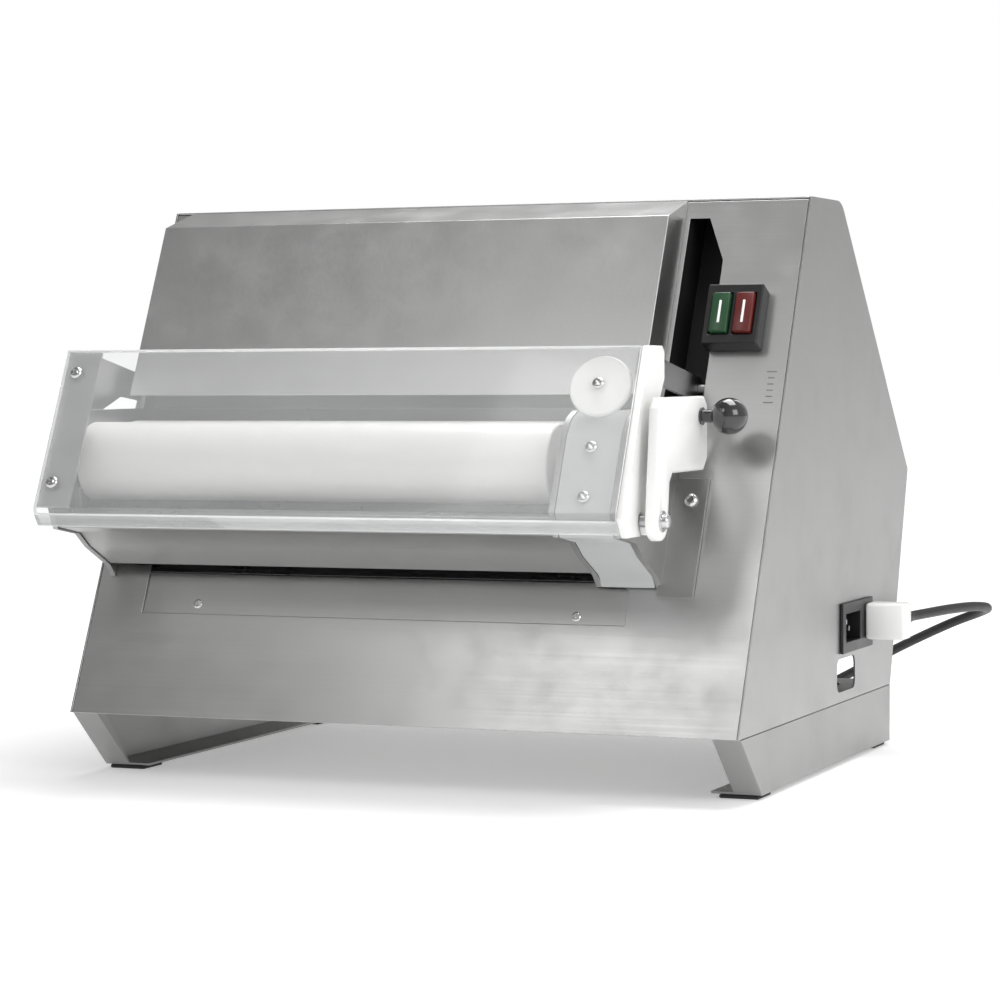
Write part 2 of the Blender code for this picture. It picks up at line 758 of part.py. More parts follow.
def gear_outline(centre, pitch_radius, phase):
    """The outline of an involute spur gear; phase is the angle of one tooth's middle."""
    pressure = math.radians(22.0)
    base = pitch_radius * math.cos(pressure)
    tip = pitch_radius + GEAR_ADDENDUM
    root = pitch_radius - GEAR_DEDENDUM
    backlash = 0.0003
    half_pitch = math.pi / (2 * GEAR_TEETH) - backlash / (2 * pitch_radius)

    def half_angle(radius):
        angle = math.acos(min(1.0, base / radius))
        return half_pitch + (math.tan(pressure) - pressure) - (math.tan(angle) - angle)

    radii = [base + (tip - base) * share for share in (0.0, 0.35, 0.7, 1.0)]
    flank = [(root, half_angle(base))] + [(r, half_angle(r)) for r in radii]
    points = []
    for tooth in range(GEAR_TEETH):
        mid = phase + math.tau * tooth / GEAR_TEETH
        steps = [(r, mid - a) for r, a in flank] + [(r, mid + a) for r, a in reversed(flank)]
        for r, a in steps:
            points.append((centre[0] + r * math.cos(a), centre[1] + r * math.sin(a)))
    return points


def make_roller(side, depth, phase, shaft_end):
    """One roller: white sleeve, steel shaft and spur gear, all turning about one axis."""
    centre = (depth, ROLLER_HEIGHT)
    bore = SHAFT_RADIUS + RUNNING
    edge = 0.0015
    profile = [
        (ROLLER_LEFT, bore),
        (ROLLER_LEFT, ROLLER_RADIUS - edge),
        (ROLLER_LEFT + edge, ROLLER_RADIUS),
        (ROLLER_RIGHT - edge, ROLLER_RADIUS),
        (ROLLER_RIGHT, ROLLER_RADIUS - edge),
        (ROLLER_RIGHT, bore),
    ]
    turned(f"{side}_roller", profile, centre, WHITE_PLASTIC, closed=True, count=48)
    left_end = LEFT_PLATE_X - 0.0045
    shaft = [
        (left_end, 0.0),
        (left_end, SHAFT_RADIUS),
        (shaft_end, SHAFT_RADIUS),
        (shaft_end, 0.0),
    ]
    turned(f"{side}_roller_shaft", shaft, centre, DARK_STEEL, count=24)
    low = GEAR_LEFT
    pitch = (REAR_ROLLER_DEPTH - FRONT_ROLLER_DEPTH) / 2
    gear = prism(
        f"{side}_gear",
        gear_outline(centre, pitch, phase),
        "X",
        low,
        low + GEAR_WIDTH,
        WHITE_PLASTIC,
        (low + GEAR_WIDTH / 2, *centre),
    )
    hole(gear, centre, bore, low - 0.01, low + 0.02)


def make_rollers():
    """The roller pair with its gears in mesh, and the rear roller's bushings."""
    make_roller("rear", REAR_ROLLER_DEPTH, 0.0, OUTER_PLATE_X - 0.002)
    front_end = GEAR_LEFT + GEAR_WIDTH + 0.003
    make_roller("front", FRONT_ROLLER_DEPTH, math.pi / GEAR_TEETH, front_end)
    bore, body, flange = SHAFT_RADIUS + RUNNING, BEARING_RADIUS - GAP, BEARING_RADIUS + 0.0025
    for side, x, inward in (("left", LEFT_PLATE_X, 1), ("right", INNER_PLATE_X, -1)):
        face = x + PLATE + GAP if inward > 0 else x - GAP
        lip = face + inward * 0.002
        end = x - 0.0035 if inward > 0 else x + PLATE + 0.0035
        profile = [
            (lip, bore),
            (lip, flange),
            (face, flange),
            (face, body),
            (end, body),
            (end, bore),
        ]
        turned(f"rear_{side}_bushing", profile, REAR_ROLLER, BRONZE, closed=True, count=24)


def block_part(name, x_low, x_high, low, high):
    """One block of a slide block, between (depth, height) corners."""
    return box(name, (x_low, low[0], low[1]), (x_high, high[0], high[1]), DARK_STEEL)


def make_slide_blocks():
    """The two blocks that carry the front roller, each with a leg for its cam to bear on."""
    depth, height = FRONT_ROLLER_DEPTH, ROLLER_HEIGHT
    core, lip = BLOCK_SIZE / 2, BLOCK_FLANGE / 2
    leg_front = CAM_DEPTH + CAM_RADIUS + CAM_CLEARANCE
    leg_low = CAM_HEIGHT - 0.0065
    for side, x, inward in (("left", LEFT_PLATE_X, 1), ("right", INNER_PLATE_X, -1)):
        inner_face = x + PLATE + GAP if inward > 0 else x - GAP
        inner_lip = inner_face + inward * 0.0022
        outer_face = x - GAP if inward > 0 else x + PLATE + GAP
        outer_lip = outer_face - inward * 0.0042
        block = block_part(
            f"{side}_slide_block",
            min(inner_lip + inward * 0.0001, outer_lip - inward * 0.0001),
            max(inner_lip + inward * 0.0001, outer_lip - inward * 0.0001),
            (depth - core, height - core),
            (depth + core, height + core),
        )
        parts = (
            (
                "inner_flange",
                inner_face,
                inner_lip,
                (depth - lip, height - lip),
                (depth + lip, height + lip),
            ),
            (
                "outer_flange",
                outer_face,
                outer_lip,
                (depth - lip, height - lip),
                (depth + lip, height + lip),
            ),
            (
                "cam_leg",
                outer_face,
                outer_lip,
                (leg_front, leg_low),
                (leg_front + 0.010, height - lip + 0.002),
            ),
            (
                "scraper_tab",
                inner_face,
                inner_lip,
                (-0.0080, ROLLER_LOW - 0.0115),
                (0.0030, height - lip + 0.002),
            ),
        )
        for name, a, b, low, high in parts:
            part = block_part(f"{side}_{name}", min(a, b), max(a, b), low, high)
            cut(block, part, "UNION")
        hole(block, (depth, height), SHAFT_RADIUS + RUNNING, x - 0.02, x + 0.03)
    bar_low = LEFT_PLATE_X + PLATE + GAP + 0.0022 + GAP + 0.0001
    bar_high = INNER_PLATE_X - GAP - 0.0022 - GAP - 0.0001
    reach = ROLLER_RADIUS + 0.0006
    angle = math.radians(252.0)
    edge = (depth + reach * math.cos(angle), height + reach * math.sin(angle))
    path = [(-0.0070, ROLLER_LOW - 0.0105), edge]
    bent_sheet("front_scraper", path, 0.0014, bar_low, bar_high, STEEL)


def cam_outline(centre):
    """A snail cam: full radius towards the block at rest, smaller as the lever is raised."""
    points = []
    for step in range(48):
        angle = step * 7.5
        if angle <= 45.0:
            drop = 0.0
        elif angle >= 300.0:
            drop = GAP_TRAVEL * (360.0 - angle) / LEVER_SWING
        else:
            drop = GAP_TRAVEL * (angle - 45.0) / 255.0
        radius = CAM_RADIUS - drop
        turn = math.radians(angle)
        points.append((centre[0] + radius * math.cos(turn), centre[1] + radius * math.sin(turn)))
    return points


def make_adjuster():
    """The cam shaft across the head, the white lever on its end and the ball knob."""
    start = LEFT_PLATE_X - GAP - 0.0044
    end = LEVER_X + LEVER_THICK - 0.0005
    shaft = rod("cam_shaft", CAM_AXIS, CAM_SHAFT_RADIUS, start, end, DARK_STEEL, 16)
    left_cam = LEFT_PLATE_X - GAP
    right_cam = INNER_PLATE_X + PLATE + GAP
    for name, low, high in (
        ("left_cam", left_cam - 0.0042, left_cam),
        ("right_cam", right_cam, right_cam + 0.0042),
    ):
        cut(shaft, prism(name, cam_outline(CAM_AXIS), "X", low, high, None), "UNION")
    lever_high = LEVER_X + LEVER_THICK
    outline = (
        arc(CAM_AXIS, 0.013, 160, 360, 10)
        + [(-0.002, 0.168), (0.004, 0.174), (0.068, 0.174), (0.076, 0.182)]
        + [(0.076, 0.218), (0.070, 0.224), (-0.014, 0.224), (-0.021, 0.217)]
    )
    pivot = (LEVER_X, *CAM_AXIS)
    lever = prism("gap_lever", outline, "X", LEVER_X, lever_high, WHITE_PLASTIC, pivot)
    hole(lever, CAM_AXIS, CAM_SHAFT_RADIUS + RUNNING, LEVER_X - 0.01, lever_high + 0.01, 16)
    round_edges(lever, 0.0016, 2, 50.0)
    hang_on("gap_lever_axis", pivot, make_ball(lever_high + GAP))


def make_ball(base):
    """The ball knob with its short neck, standing on the lever's face."""
    neck, ball_x = 0.005, base + 0.0197
    start = math.pi - math.asin(neck / BALL_RADIUS)
    profile = [(base, 0.0), (base, neck + 0.001), (base + 0.0015, neck + 0.001)]
    profile.append((base + 0.0015, neck))
    for step in range(8):
        angle = start * (1 - step / 8)
        profile.append((ball_x + BALL_RADIUS * math.cos(angle), BALL_RADIUS * math.sin(angle)))
    profile.append((ball_x + BALL_RADIUS, 0.0))
    return turned("ball_knob", profile, (0.062, 0.2105), BLACK_PLASTIC, count=24)


def guard_depth(height):
    """Depth of the guard's outer face at a height."""
    return front(height, GUARD_STANDOFF)


def shaft_slot_cutter(low, high):
    """The open slot that lets the guard's end plate swing clear of the cam shaft."""
    radial = math.atan2(CAM_HEIGHT - HINGE_HEIGHT, CAM_DEPTH - HINGE_DEPTH)
    way = (-math.sin(radial), math.cos(radial))
    radius = CAM_SHAFT_RADIUS + 0.0012
    turn = math.degrees(math.atan2(way[1], way[0]))
    back = arc(CAM_AXIS, radius, turn + 90.0, turn + 270.0, 8)
    reach = 0.03
    far = [(u + way[0] * reach, v + way[1] * reach) for u, v in (back[-1], back[0])]
    return prism("shaft_slot_cutter", back + far, "X", low, high, None)


def make_guard():
    """The clear guard sheet, and the magnet boss behind its top right corner."""
    path = [
        (guard_depth(GUARD_TOP), GUARD_TOP),
        (guard_depth(GUARD_BOTTOM), GUARD_BOTTOM),
        (guard_depth(GUARD_BOTTOM) + 0.0077, GUARD_BOTTOM - 0.0105),
    ]
    pivot = ((GUARD_LEFT + GUARD_RIGHT) / 2, *HINGE)
    bent_sheet("guard_sheet", path, GUARD_THICK, GUARD_LEFT, GUARD_RIGHT, CLEAR_PLASTIC, pivot)
    boss = prism(
        "magnet_boss",
        circle((0.0, 0.0), BOSS_RADIUS, 32),
        "Y",
        GUARD_THICK + GAP,
        GUARD_THICK + GAP + 0.005,
        WHITE_PLASTIC,
        (0.0, 0.0, 0.0),
    )
    height = GUARD_TOP - 0.0245
    boss.location = (OUTER_PLATE_X - 0.020, guard_depth(height), height)
    hang_on("guard_axis", pivot, smooth(lean(boss)))


def arm_outline(top, low, throat, crest, waist=()):
    """A hinge arm from the guard's back face to the round eye about the hinge pin.

    top and low are the heights that it spans on the guard, throat and crest the ends of its neck,
    and waist any further points of its lower edge.
    """
    back = GUARD_THICK / math.cos(FRONT_LEAN) + GAP
    return [
        (guard_depth(top) + back, top),
        (guard_depth(low) + back, low),
        (0.030, throat),
        *waist,
        *arc(HINGE, ARM_EYE_RADIUS, 255, 445, 8),
        (0.028, crest),
    ]


def make_guard_arms():
    """The guard's left bracket, its right arm, and the white end plate beside the arm."""
    back = GUARD_THICK / math.cos(FRONT_LEAN) + GAP
    low, high = GUARD_BOTTOM + 0.003, GUARD_TOP - 0.002
    strip = [(guard_depth(high) + back, high), (guard_depth(low) + back, low)]
    pivot = (ARM_LEFT_X, *HINGE)
    bracket = bent_sheet(
        "left_guard_bracket", strip, SHEET, GUARD_LEFT, GUARD_LEFT + 0.026, STEEL, pivot
    )
    left_arm = arm_outline(high, 0.210, 0.211, 0.2555, ((0.070, 0.2243),))
    cut(bracket, prism("left_arm", left_arm, "X", ARM_LEFT_X, ARM_LEFT_X + 0.002, None), "UNION")
    bore = HINGE_PIN_RADIUS + RUNNING
    hole(bracket, HINGE, bore, ARM_LEFT_X - 0.01, ARM_LEFT_X + 0.01, 16)

    pivot = (ARM_RIGHT_X, *HINGE)
    right_arm = arm_outline(0.253, 0.239, 0.233, 0.2515)
    bar = prism("right_guard_arm", right_arm, "X", ARM_RIGHT_X, GUARD_RIGHT, STEEL, pivot)
    hole(bar, HINGE, bore, ARM_RIGHT_X - 0.01, ARM_RIGHT_X + 0.01, 16)

    end_low = GUARD_RIGHT + GAP
    end_high = end_low + GUARD_END_THICK
    outline = [
        (guard_depth(GUARD_TOP), GUARD_TOP),
        (guard_depth(GUARD_BOTTOM), GUARD_BOTTOM),
        (guard_depth(GUARD_BOTTOM) + 0.0089, GUARD_BOTTOM - 0.0125),
        (0.028, GUARD_BOTTOM - 0.0125),
        (0.012, 0.165),
        (0.012, 0.210),
        (0.030, 0.236),
        (0.030, GUARD_TOP - 0.0035),
        (0.026, GUARD_TOP),
    ]
    pivot = (end_low, *HINGE)
    plate = prism("right_guard_end", outline, "X", end_low, end_high, WHITE_PLASTIC, pivot)
    cut(plate, shaft_slot_cutter(end_low - 0.01, end_high + 0.01))
    round_edges(plate, 0.0008, 1, 50.0)


def make_hinge():
    """The guard's two hinge pins, the liner behind the arm slot and the guard sensor."""
    pin_left, pin_right = -HALF + SHEET + GAP, LEFT_PLATE_X + PLATE + 0.0008
    rod("left_hinge_pin", HINGE, HINGE_PIN_RADIUS, pin_left, pin_right, DARK_STEEL, 16)
    wall = 0.0015
    low_x, high_x = ARM_SLOT_LEFT - 0.002, ARM_SLOT_RIGHT + 0.003
    back = SHEET_RUN + GAP
    low, high, deep = ARM_SLOT_LOW - 0.006, ARM_SLOT_HIGH + 0.002, 0.038
    outline = [
        (front(low) + back, low),
        (front(high) + back, high),
        (front(high) + back + deep, high),
        (front(low) + back + deep, low),
    ]
    liner = prism("arm_slot_liner", outline, "X", low_x, high_x, BLACK_PLASTIC)
    hollow = [
        (front(low + wall) - 0.01, low + wall),
        (front(high - wall) - 0.01, high - wall),
        (front(high - wall) + back + deep - wall, high - wall),
        (front(low + wall) + back + deep - wall, low + wall),
    ]
    cut(liner, prism("liner_hollow", hollow, "X", low_x + wall, high_x - wall, None))
    rod(
        "right_hinge_pin",
        HINGE,
        HINGE_PIN_RADIUS,
        low_x + wall + GAP,
        high_x - wall - GAP,
        DARK_STEEL,
        16,
    )
    box(
        "guard_sensor",
        (OUTER_PLATE_X - 0.032, 0.0060, HEAD_TOP + GAP),
        (OUTER_PLATE_X - 0.008, 0.0280, HEAD_TOP + 0.0105),
        BLACK_PLASTIC,
        0.0012,
    )


def make_switch():
    """The switch housing on the column and its two push buttons."""
    body = leaned_box(
        "switch_housing",
        SWITCH_X,
        SWITCH_LEVEL,
        (SWITCH_WIDTH, SWITCH_PROUD - GAP, SWITCH_HEIGHT),
        -SWITCH_PROUD,
        BLACK_PLASTIC,
    )
    neck = leaned_box(
        "switch_neck",
        SWITCH_X,
        SWITCH_LEVEL,
        (SWITCH_WIDTH - 0.0140, 0.032, SWITCH_HEIGHT - 0.0100),
        -0.004,
        None,
    )
    cut(body, neck, "UNION")
    width, length, pocket = 0.0130, 0.0300, 0.010
    for name, shift, finish in (("start_button", -0.0085, GREEN), ("stop_button", 0.0085, RED)):
        well = leaned_box(
            f"{name}_well",
            SWITCH_X + shift,
            SWITCH_LEVEL,
            (width + 0.001, pocket + 0.01, length + 0.001),
            -SWITCH_PROUD - 0.01,
            None,
        )
        cut(body, well)
        button = leaned_box(
            name,
            SWITCH_X + shift,
            SWITCH_LEVEL,
            (width, pocket - BUTTON_TRAVEL - GAP + 0.003, length),
            -SWITCH_PROUD - 0.003,
            finish,
        )
        round_edges(button, 0.0010, 2, 50.0)


def make_drive():
    """The gear motor on its mount, its output shaft, the two pulleys and the belt."""
    floor = 2 * SHEET + 2 * GAP
    deck, thick = 0.0545, 0.003
    mount_path = [
        (MOTOR_DEPTH + 0.107, floor),
        (MOTOR_DEPTH + 0.083, floor),
        (MOTOR_DEPTH + 0.083, deck),
        (MOTOR_DEPTH - 0.043, deck),
        (MOTOR_DEPTH - 0.043, floor),
        (MOTOR_DEPTH - 0.067, floor),
    ]
    left, right = GEARBOX_RIGHT - 0.1895, GEARBOX_RIGHT - 0.0045
    bent_sheet("motor_mount", mount_path, -thick, left, right, DARK_STEEL)
    gearbox_left = GEARBOX_RIGHT - GEARBOX_LENGTH
    box(
        "gearbox",
        (gearbox_left, MOTOR_DEPTH - 0.035, deck + thick + 2 * GAP),
        (GEARBOX_RIGHT, MOTOR_DEPTH + 0.075, MOTOR_HEIGHT + 0.051),
        PAINT,
        0.004,
    )
    axis = (MOTOR_DEPTH + 0.027, MOTOR_HEIGHT + 0.0025)
    end = gearbox_left - GAP
    rod("motor", axis, MOTOR_RADIUS, end - MOTOR_LENGTH, end, PAINT, 32)
    high = PULLEY_LEFT + PULLEY_WIDTH
    start = GEARBOX_RIGHT + GAP
    rod("output_shaft", MOTOR, MOTOR_SHAFT_RADIUS, start, high + 0.003, DARK_STEEL, 20)
    make_pulley("roller_pulley", REAR_ROLLER, ROLLER_PULLEY_RADIUS, SHAFT_RADIUS + RUNNING)
    make_pulley("motor_pulley", MOTOR, MOTOR_PULLEY_RADIUS, MOTOR_SHAFT_RADIUS + RUNNING)
    inner = belt_outline(REAR_ROLLER, MOTOR, GAP)
    outer = belt_outline(REAR_ROLLER, MOTOR, GAP + BELT_THICK)
    inset = 0.002
    centre = (PULLEY_LEFT + PULLEY_WIDTH / 2, *REAR_ROLLER)
    ring_prism("drive_belt", outer, inner, PULLEY_LEFT + inset, high - inset, RUBBER, centre)


def make_pulley(name, centre, radius, bore):
    """A flanged pulley for the flat belt."""
    low, high, lip = PULLEY_LEFT, PULLEY_LEFT + PULLEY_WIDTH, 0.0016
    rim = radius + BELT_THICK * 0.8
    profile = [
        (low, bore),
        (low, rim),
        (low + lip, rim),
        (low + lip, radius),
        (high - lip, radius),
        (high - lip, rim),
        (high, rim),
        (high, bore),
    ]
    turned(name, profile, centre, DARK_STEEL, closed=True, count=28)


def belt_outline(first, second, clearance):
    """The open belt line around both pulleys, at a clearance from their rims."""
    r1 = ROLLER_PULLEY_RADIUS + clearance
    r2 = MOTOR_PULLEY_RADIUS + clearance
    run = math.hypot(second[0] - first[0], second[1] - first[1])
    heading = math.degrees(math.atan2(second[1] - first[1], second[0] - first[0]))
    spread = math.degrees(math.acos((r1 - r2) / run))
    return arc(first, r1, heading + spread, heading + 360.0 - spread, 20) + arc(
        second, r2, heading - spread, heading + spread, 16
    )


def make_electrics():
    """The run capacitor and the mains inlet with the cord's connector."""
    base = 2 * SHEET + 2 * GAP
    centre = (-HALF + 0.080, MOTOR_DEPTH + 0.112)
    outline = circle(centre, 0.020, 28)
    smooth(prism("run_capacitor", outline, "Z", base, base + 0.085, GREY_PLASTIC))

    rear, high = INLET_FRONT + INLET_LENGTH, INLET_LOW + INLET_HEIGHT
    face = HALF + GAP + INLET_FLANGE
    rim = 0.0045
    inlet = box(
        "mains_inlet",
        (HALF + GAP, INLET_FRONT, INLET_LOW),
        (face, rear, high),
        BLACK_PLASTIC,
    )
    body = box(
        "inlet_body",
        (HALF - 0.030, INLET_FRONT + rim, INLET_LOW + rim),
        (HALF + 0.001, rear - rim, high - rim),
        None,
    )
    cut(inlet, body, "UNION")
    socket = box(
        "socket_well",
        (HALF - 0.014, INLET_FRONT + 0.008, INLET_LOW + 0.008),
        (HALF + 0.01, INLET_FRONT + 0.046, high - 0.008),
        None,
    )
    cut(inlet, socket)

    connector_front = CORD_START.y - CORD_END_CLEARANCE - RELIEF_LENGTH - GAP - CONNECTOR_LENGTH
    box(
        "cord_connector",
        (face + GAP, connector_front, CORD_START.z - 0.0135),
        (face + GAP + 0.030, connector_front + CONNECTOR_LENGTH, CORD_START.z + 0.0135),
        WHITE_PLASTIC,
        0.0025,
    )


def smooth_route(points, spacing):
    """Points evenly along a smooth curve through the route's own points."""
    route = [Vector(p) for p in points]
    padded = [2 * route[0] - route[1], *route, 2 * route[-1] - route[-2]]
    fine = []
    for a, b, c, d in zip(padded, padded[1:], padded[2:], padded[3:]):
        for step in range(24):
            t = step / 24
            fine.append(
                0.5
                * (
                    2 * b
                    + (c - a) * t
                    + (2 * a - 5 * b + 4 * c - d) * t * t
                    + (3 * b - a - 3 * c + d) * t**3
                )
            )
    fine.append(route[-1])
    lengths = [0.0]
    for a, b in zip(fine, fine[1:]):
        lengths.append(lengths[-1] + (b - a).length)
    count = max(2, round(lengths[-1] / spacing))
    result = []
    at = 0
    for step in range(count + 1):
        wanted = lengths[-1] * step / count
        while at < len(lengths) - 2 and lengths[at + 1] < wanted:
            at += 1
        share = (wanted - lengths[at]) / (lengths[at + 1] - lengths[at])
        result.append(fine[at].lerp(fine[at + 1], share))
    return result


def cord_points():
    """The cord's route points, from the strain relief down to the coil on the floor."""
    drop = CORD_START.z - CORD_LIE
    return [
        (CORD_START.x + right, CORD_START.y + behind, CORD_LIE + drop * share)
        for right, behind, share in CORD_ROUTE
    ]


def make_cord():
    """The mains cord: strain relief, free tube, wound coil and plug."""
    profile = [
        (0.0, 0.0, 0.0),
        (0.0, 0.0, 0.0062),
        (0.0, 0.0080, 0.0060),
        (0.0, RELIEF_LENGTH - 0.0025, 0.0044),
        (0.0, RELIEF_LENGTH, 0.0040),
        (0.0, RELIEF_LENGTH, 0.0),
    ]
    foot = CORD_START - Vector((0.0, RELIEF_LENGTH + CORD_END_CLEARANCE, 0.0))
    spun("strain_relief", profile, (0.0, 1.0, 0.0), RUBBER, foot, 16, False)

    curve = bpy.data.curves.new("mains_cord", "CURVE")
    curve.dimensions = "3D"
    curve.bevel_depth = CORD_RADIUS
    curve.bevel_resolution = 3
    curve.use_fill_caps = True
    points = smooth_route(cord_points(), 2.6 * 2 * CORD_RADIUS)
    spline = curve.splines.new("POLY")
    spline.points.add(len(points) - 1)
    for target, point in zip(spline.points, points):
        target.co = (*(point - CORD_START), 1.0)
    curve.materials.append(finish_of(RUBBER))
    cord = bpy.data.objects.new("mains_cord", curve)
    cord.parent = bpy.data.objects["datum"]
    cord.location = CORD_START
    bpy.context.scene.collection.objects.link(cord)

    end = cord_points()[-1]
    x, y = end[0] - COIL_BESIDE, end[1] + COIL_BEHIND
    half, tall = 1.55 * 2 * CORD_RADIUS, 2 * 2 * CORD_RADIUS
    inner, outer = COIL_RADIUS - half, COIL_RADIUS + half
    ring = [(inner, 0.0, 0.0), (outer, 0.0, 0.0), (outer, 0.0, tall), (inner, 0.0, tall)]
    spun("cord_coil", ring, (0.0, 0.0, 1.0), RUBBER, (x, y, -FOOT_HEIGHT), 40, True)
    plug_right, lead_out = x - COIL_RADIUS - 0.003, y - outer + 1.1 * CORD_RADIUS
    box(
        "mains_plug",
        (plug_right - PLUG_LENGTH, lead_out - PLUG_WIDTH / 2, -FOOT_HEIGHT),
        (plug_right, lead_out + PLUG_WIDTH / 2, -FOOT_HEIGHT + PLUG_THICK),
        BLACK_PLASTIC,
        0.004,
    )


def main():
    """Build every piece in order."""
    clear_scene()
    make_datum()
    make_side_panels()
    make_front_panel()
    make_covers()
    make_foot("left", -1)
    make_foot("right", 1)
    make_chute()
    make_head_plates()
    make_gear_case()
    make_outlet()
    make_rollers()
    make_slide_blocks()
    make_adjuster()
    make_guard()
    make_guard_arms()
    make_hinge()
    make_switch()
    make_drive()
    make_electrics()
    make_cord()


main()
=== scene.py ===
"""Visual model of a benchtop dough sheeter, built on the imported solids.

Each sub-assembly is a class that keeps its sizes as fields, builds its meshes and dresses them. Sizes
are metres in the machine's own frame: +X to the operator's right, -Y to the operator, +Z up.
"""

import json
import logging
import math
from dataclasses import dataclass, field
from enum import Enum
from typing import Iterable, Optional, Sequence, Union

import bmesh
import bpy
from mathutils import Matrix, Vector

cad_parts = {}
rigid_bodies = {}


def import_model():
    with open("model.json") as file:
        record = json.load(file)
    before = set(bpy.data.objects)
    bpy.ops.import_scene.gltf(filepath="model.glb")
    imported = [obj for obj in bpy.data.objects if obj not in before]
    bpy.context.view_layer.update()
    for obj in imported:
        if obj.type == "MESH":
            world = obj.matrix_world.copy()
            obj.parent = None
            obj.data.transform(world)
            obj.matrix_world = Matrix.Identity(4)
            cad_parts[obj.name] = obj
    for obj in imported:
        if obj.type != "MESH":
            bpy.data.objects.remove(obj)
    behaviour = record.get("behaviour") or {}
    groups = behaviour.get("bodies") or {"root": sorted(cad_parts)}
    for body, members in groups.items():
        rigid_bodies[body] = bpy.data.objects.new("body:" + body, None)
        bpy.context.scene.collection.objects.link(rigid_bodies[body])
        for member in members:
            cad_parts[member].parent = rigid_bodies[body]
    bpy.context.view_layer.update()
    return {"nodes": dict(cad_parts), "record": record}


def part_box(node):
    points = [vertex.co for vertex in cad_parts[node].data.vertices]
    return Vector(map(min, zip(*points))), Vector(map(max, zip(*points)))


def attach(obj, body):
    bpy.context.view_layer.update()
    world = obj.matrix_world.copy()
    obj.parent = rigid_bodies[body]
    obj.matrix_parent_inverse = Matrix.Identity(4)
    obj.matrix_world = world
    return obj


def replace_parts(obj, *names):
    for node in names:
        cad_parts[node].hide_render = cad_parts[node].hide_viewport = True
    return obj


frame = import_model()
BODY_OF = {node: body for body, nodes in frame["record"]["behaviour"]["bodies"].items() for node in nodes}
LOG = logging.getLogger("dough_sheeter")

# How far the front sheet leans back, and the way that it faces.
LEAN = math.radians(25.0)
OUT_OF_FRONT = Vector((0.0, -math.cos(LEAN), math.sin(LEAN)))
# The middle of the housing's bottom front edge, and half the housing's width.
DATUM = Vector((-0.00125, -0.18854, 0.046))
HALF = 0.25
# The outer head plate's left face.
PLATE_X = 0.178
# The guard sheet's outer face, measured level from the front sheet, and its thickness.
GUARD_STANDOFF = 0.121
GUARD_THICK = 0.003

# The Mix node's sockets when it blends colours.
MIX_FACTOR, MIX_FIRST, MIX_SECOND, MIX_RESULT = 0, 6, 7, 2

Point = Union[Vector, tuple]
Number = Union["Value", float]


def at(x: float, depth: float, height: float) -> Vector:
    """A point from its place across, behind and above the housing's bottom front edge."""
    return DATUM + Vector((x, depth, height))


def on_front(x: float, height: float, proud: float = 0.0) -> Vector:
    """A point on the leaning front, moved square out of it by proud.

    Args:
        x: place across the machine.
        height: height above the housing's bottom edge.
        proud: distance in front of the sheet.

    Returns:
        The point in the machine's frame.
    """
    return at(x, height * math.tan(LEAN), height) + OUT_OF_FRONT * proud


class Value:
    """A number that changes over a surface, held as a shader socket."""

    def __init__(self, graph: "Graph", socket: bpy.types.NodeSocket) -> None:
        """Keep the socket and the graph that it belongs to."""
        self.graph = graph
        self.socket = socket

    def _with(self, operation: str, first: Number, second: Number) -> "Value":
        """Add one Math node.

        Args:
            operation: the node's operation.
            first: its first number.
            second: its second number.

        Returns:
            The node's result.
        """
        node = self.graph.node("ShaderNodeMath", {"operation": operation}, {0: first, 1: second})
        return Value(self.graph, node.outputs[0])

    def __add__(self, other: Number) -> "Value":
        """Sum."""
        return self._with("ADD", self, other)

    def __radd__(self, other: Number) -> "Value":
        """Sum with a number in front."""
        return self._with("ADD", other, self)

    def __sub__(self, other: Number) -> "Value":
        """Difference."""
        return self._with("SUBTRACT", self, other)

    def __rsub__(self, other: Number) -> "Value":
        """Difference from a number in front."""
        return self._with("SUBTRACT", other, self)

    def __mul__(self, other: Number) -> "Value":
        """Product."""
        return self._with("MULTIPLY", self, other)

    def __rmul__(self, other: Number) -> "Value":
        """Product with a number in front."""
        return self._with("MULTIPLY", other, self)

    def __pow__(self, other: Number) -> "Value":
        """Power."""
        return self._with("POWER", self, other)

    def __rpow__(self, other: Number) -> "Value":
        """Power of a number in front."""
        return self._with("POWER", other, self)

    def at_least(self, other: Number) -> "Value":
        """The larger of two values."""
        return self._with("MAXIMUM", self, other)

    def above(self, level: float) -> "Value":
        """One where the value is over a level, and nought elsewhere."""
        return self._with("GREATER_THAN", self, level)


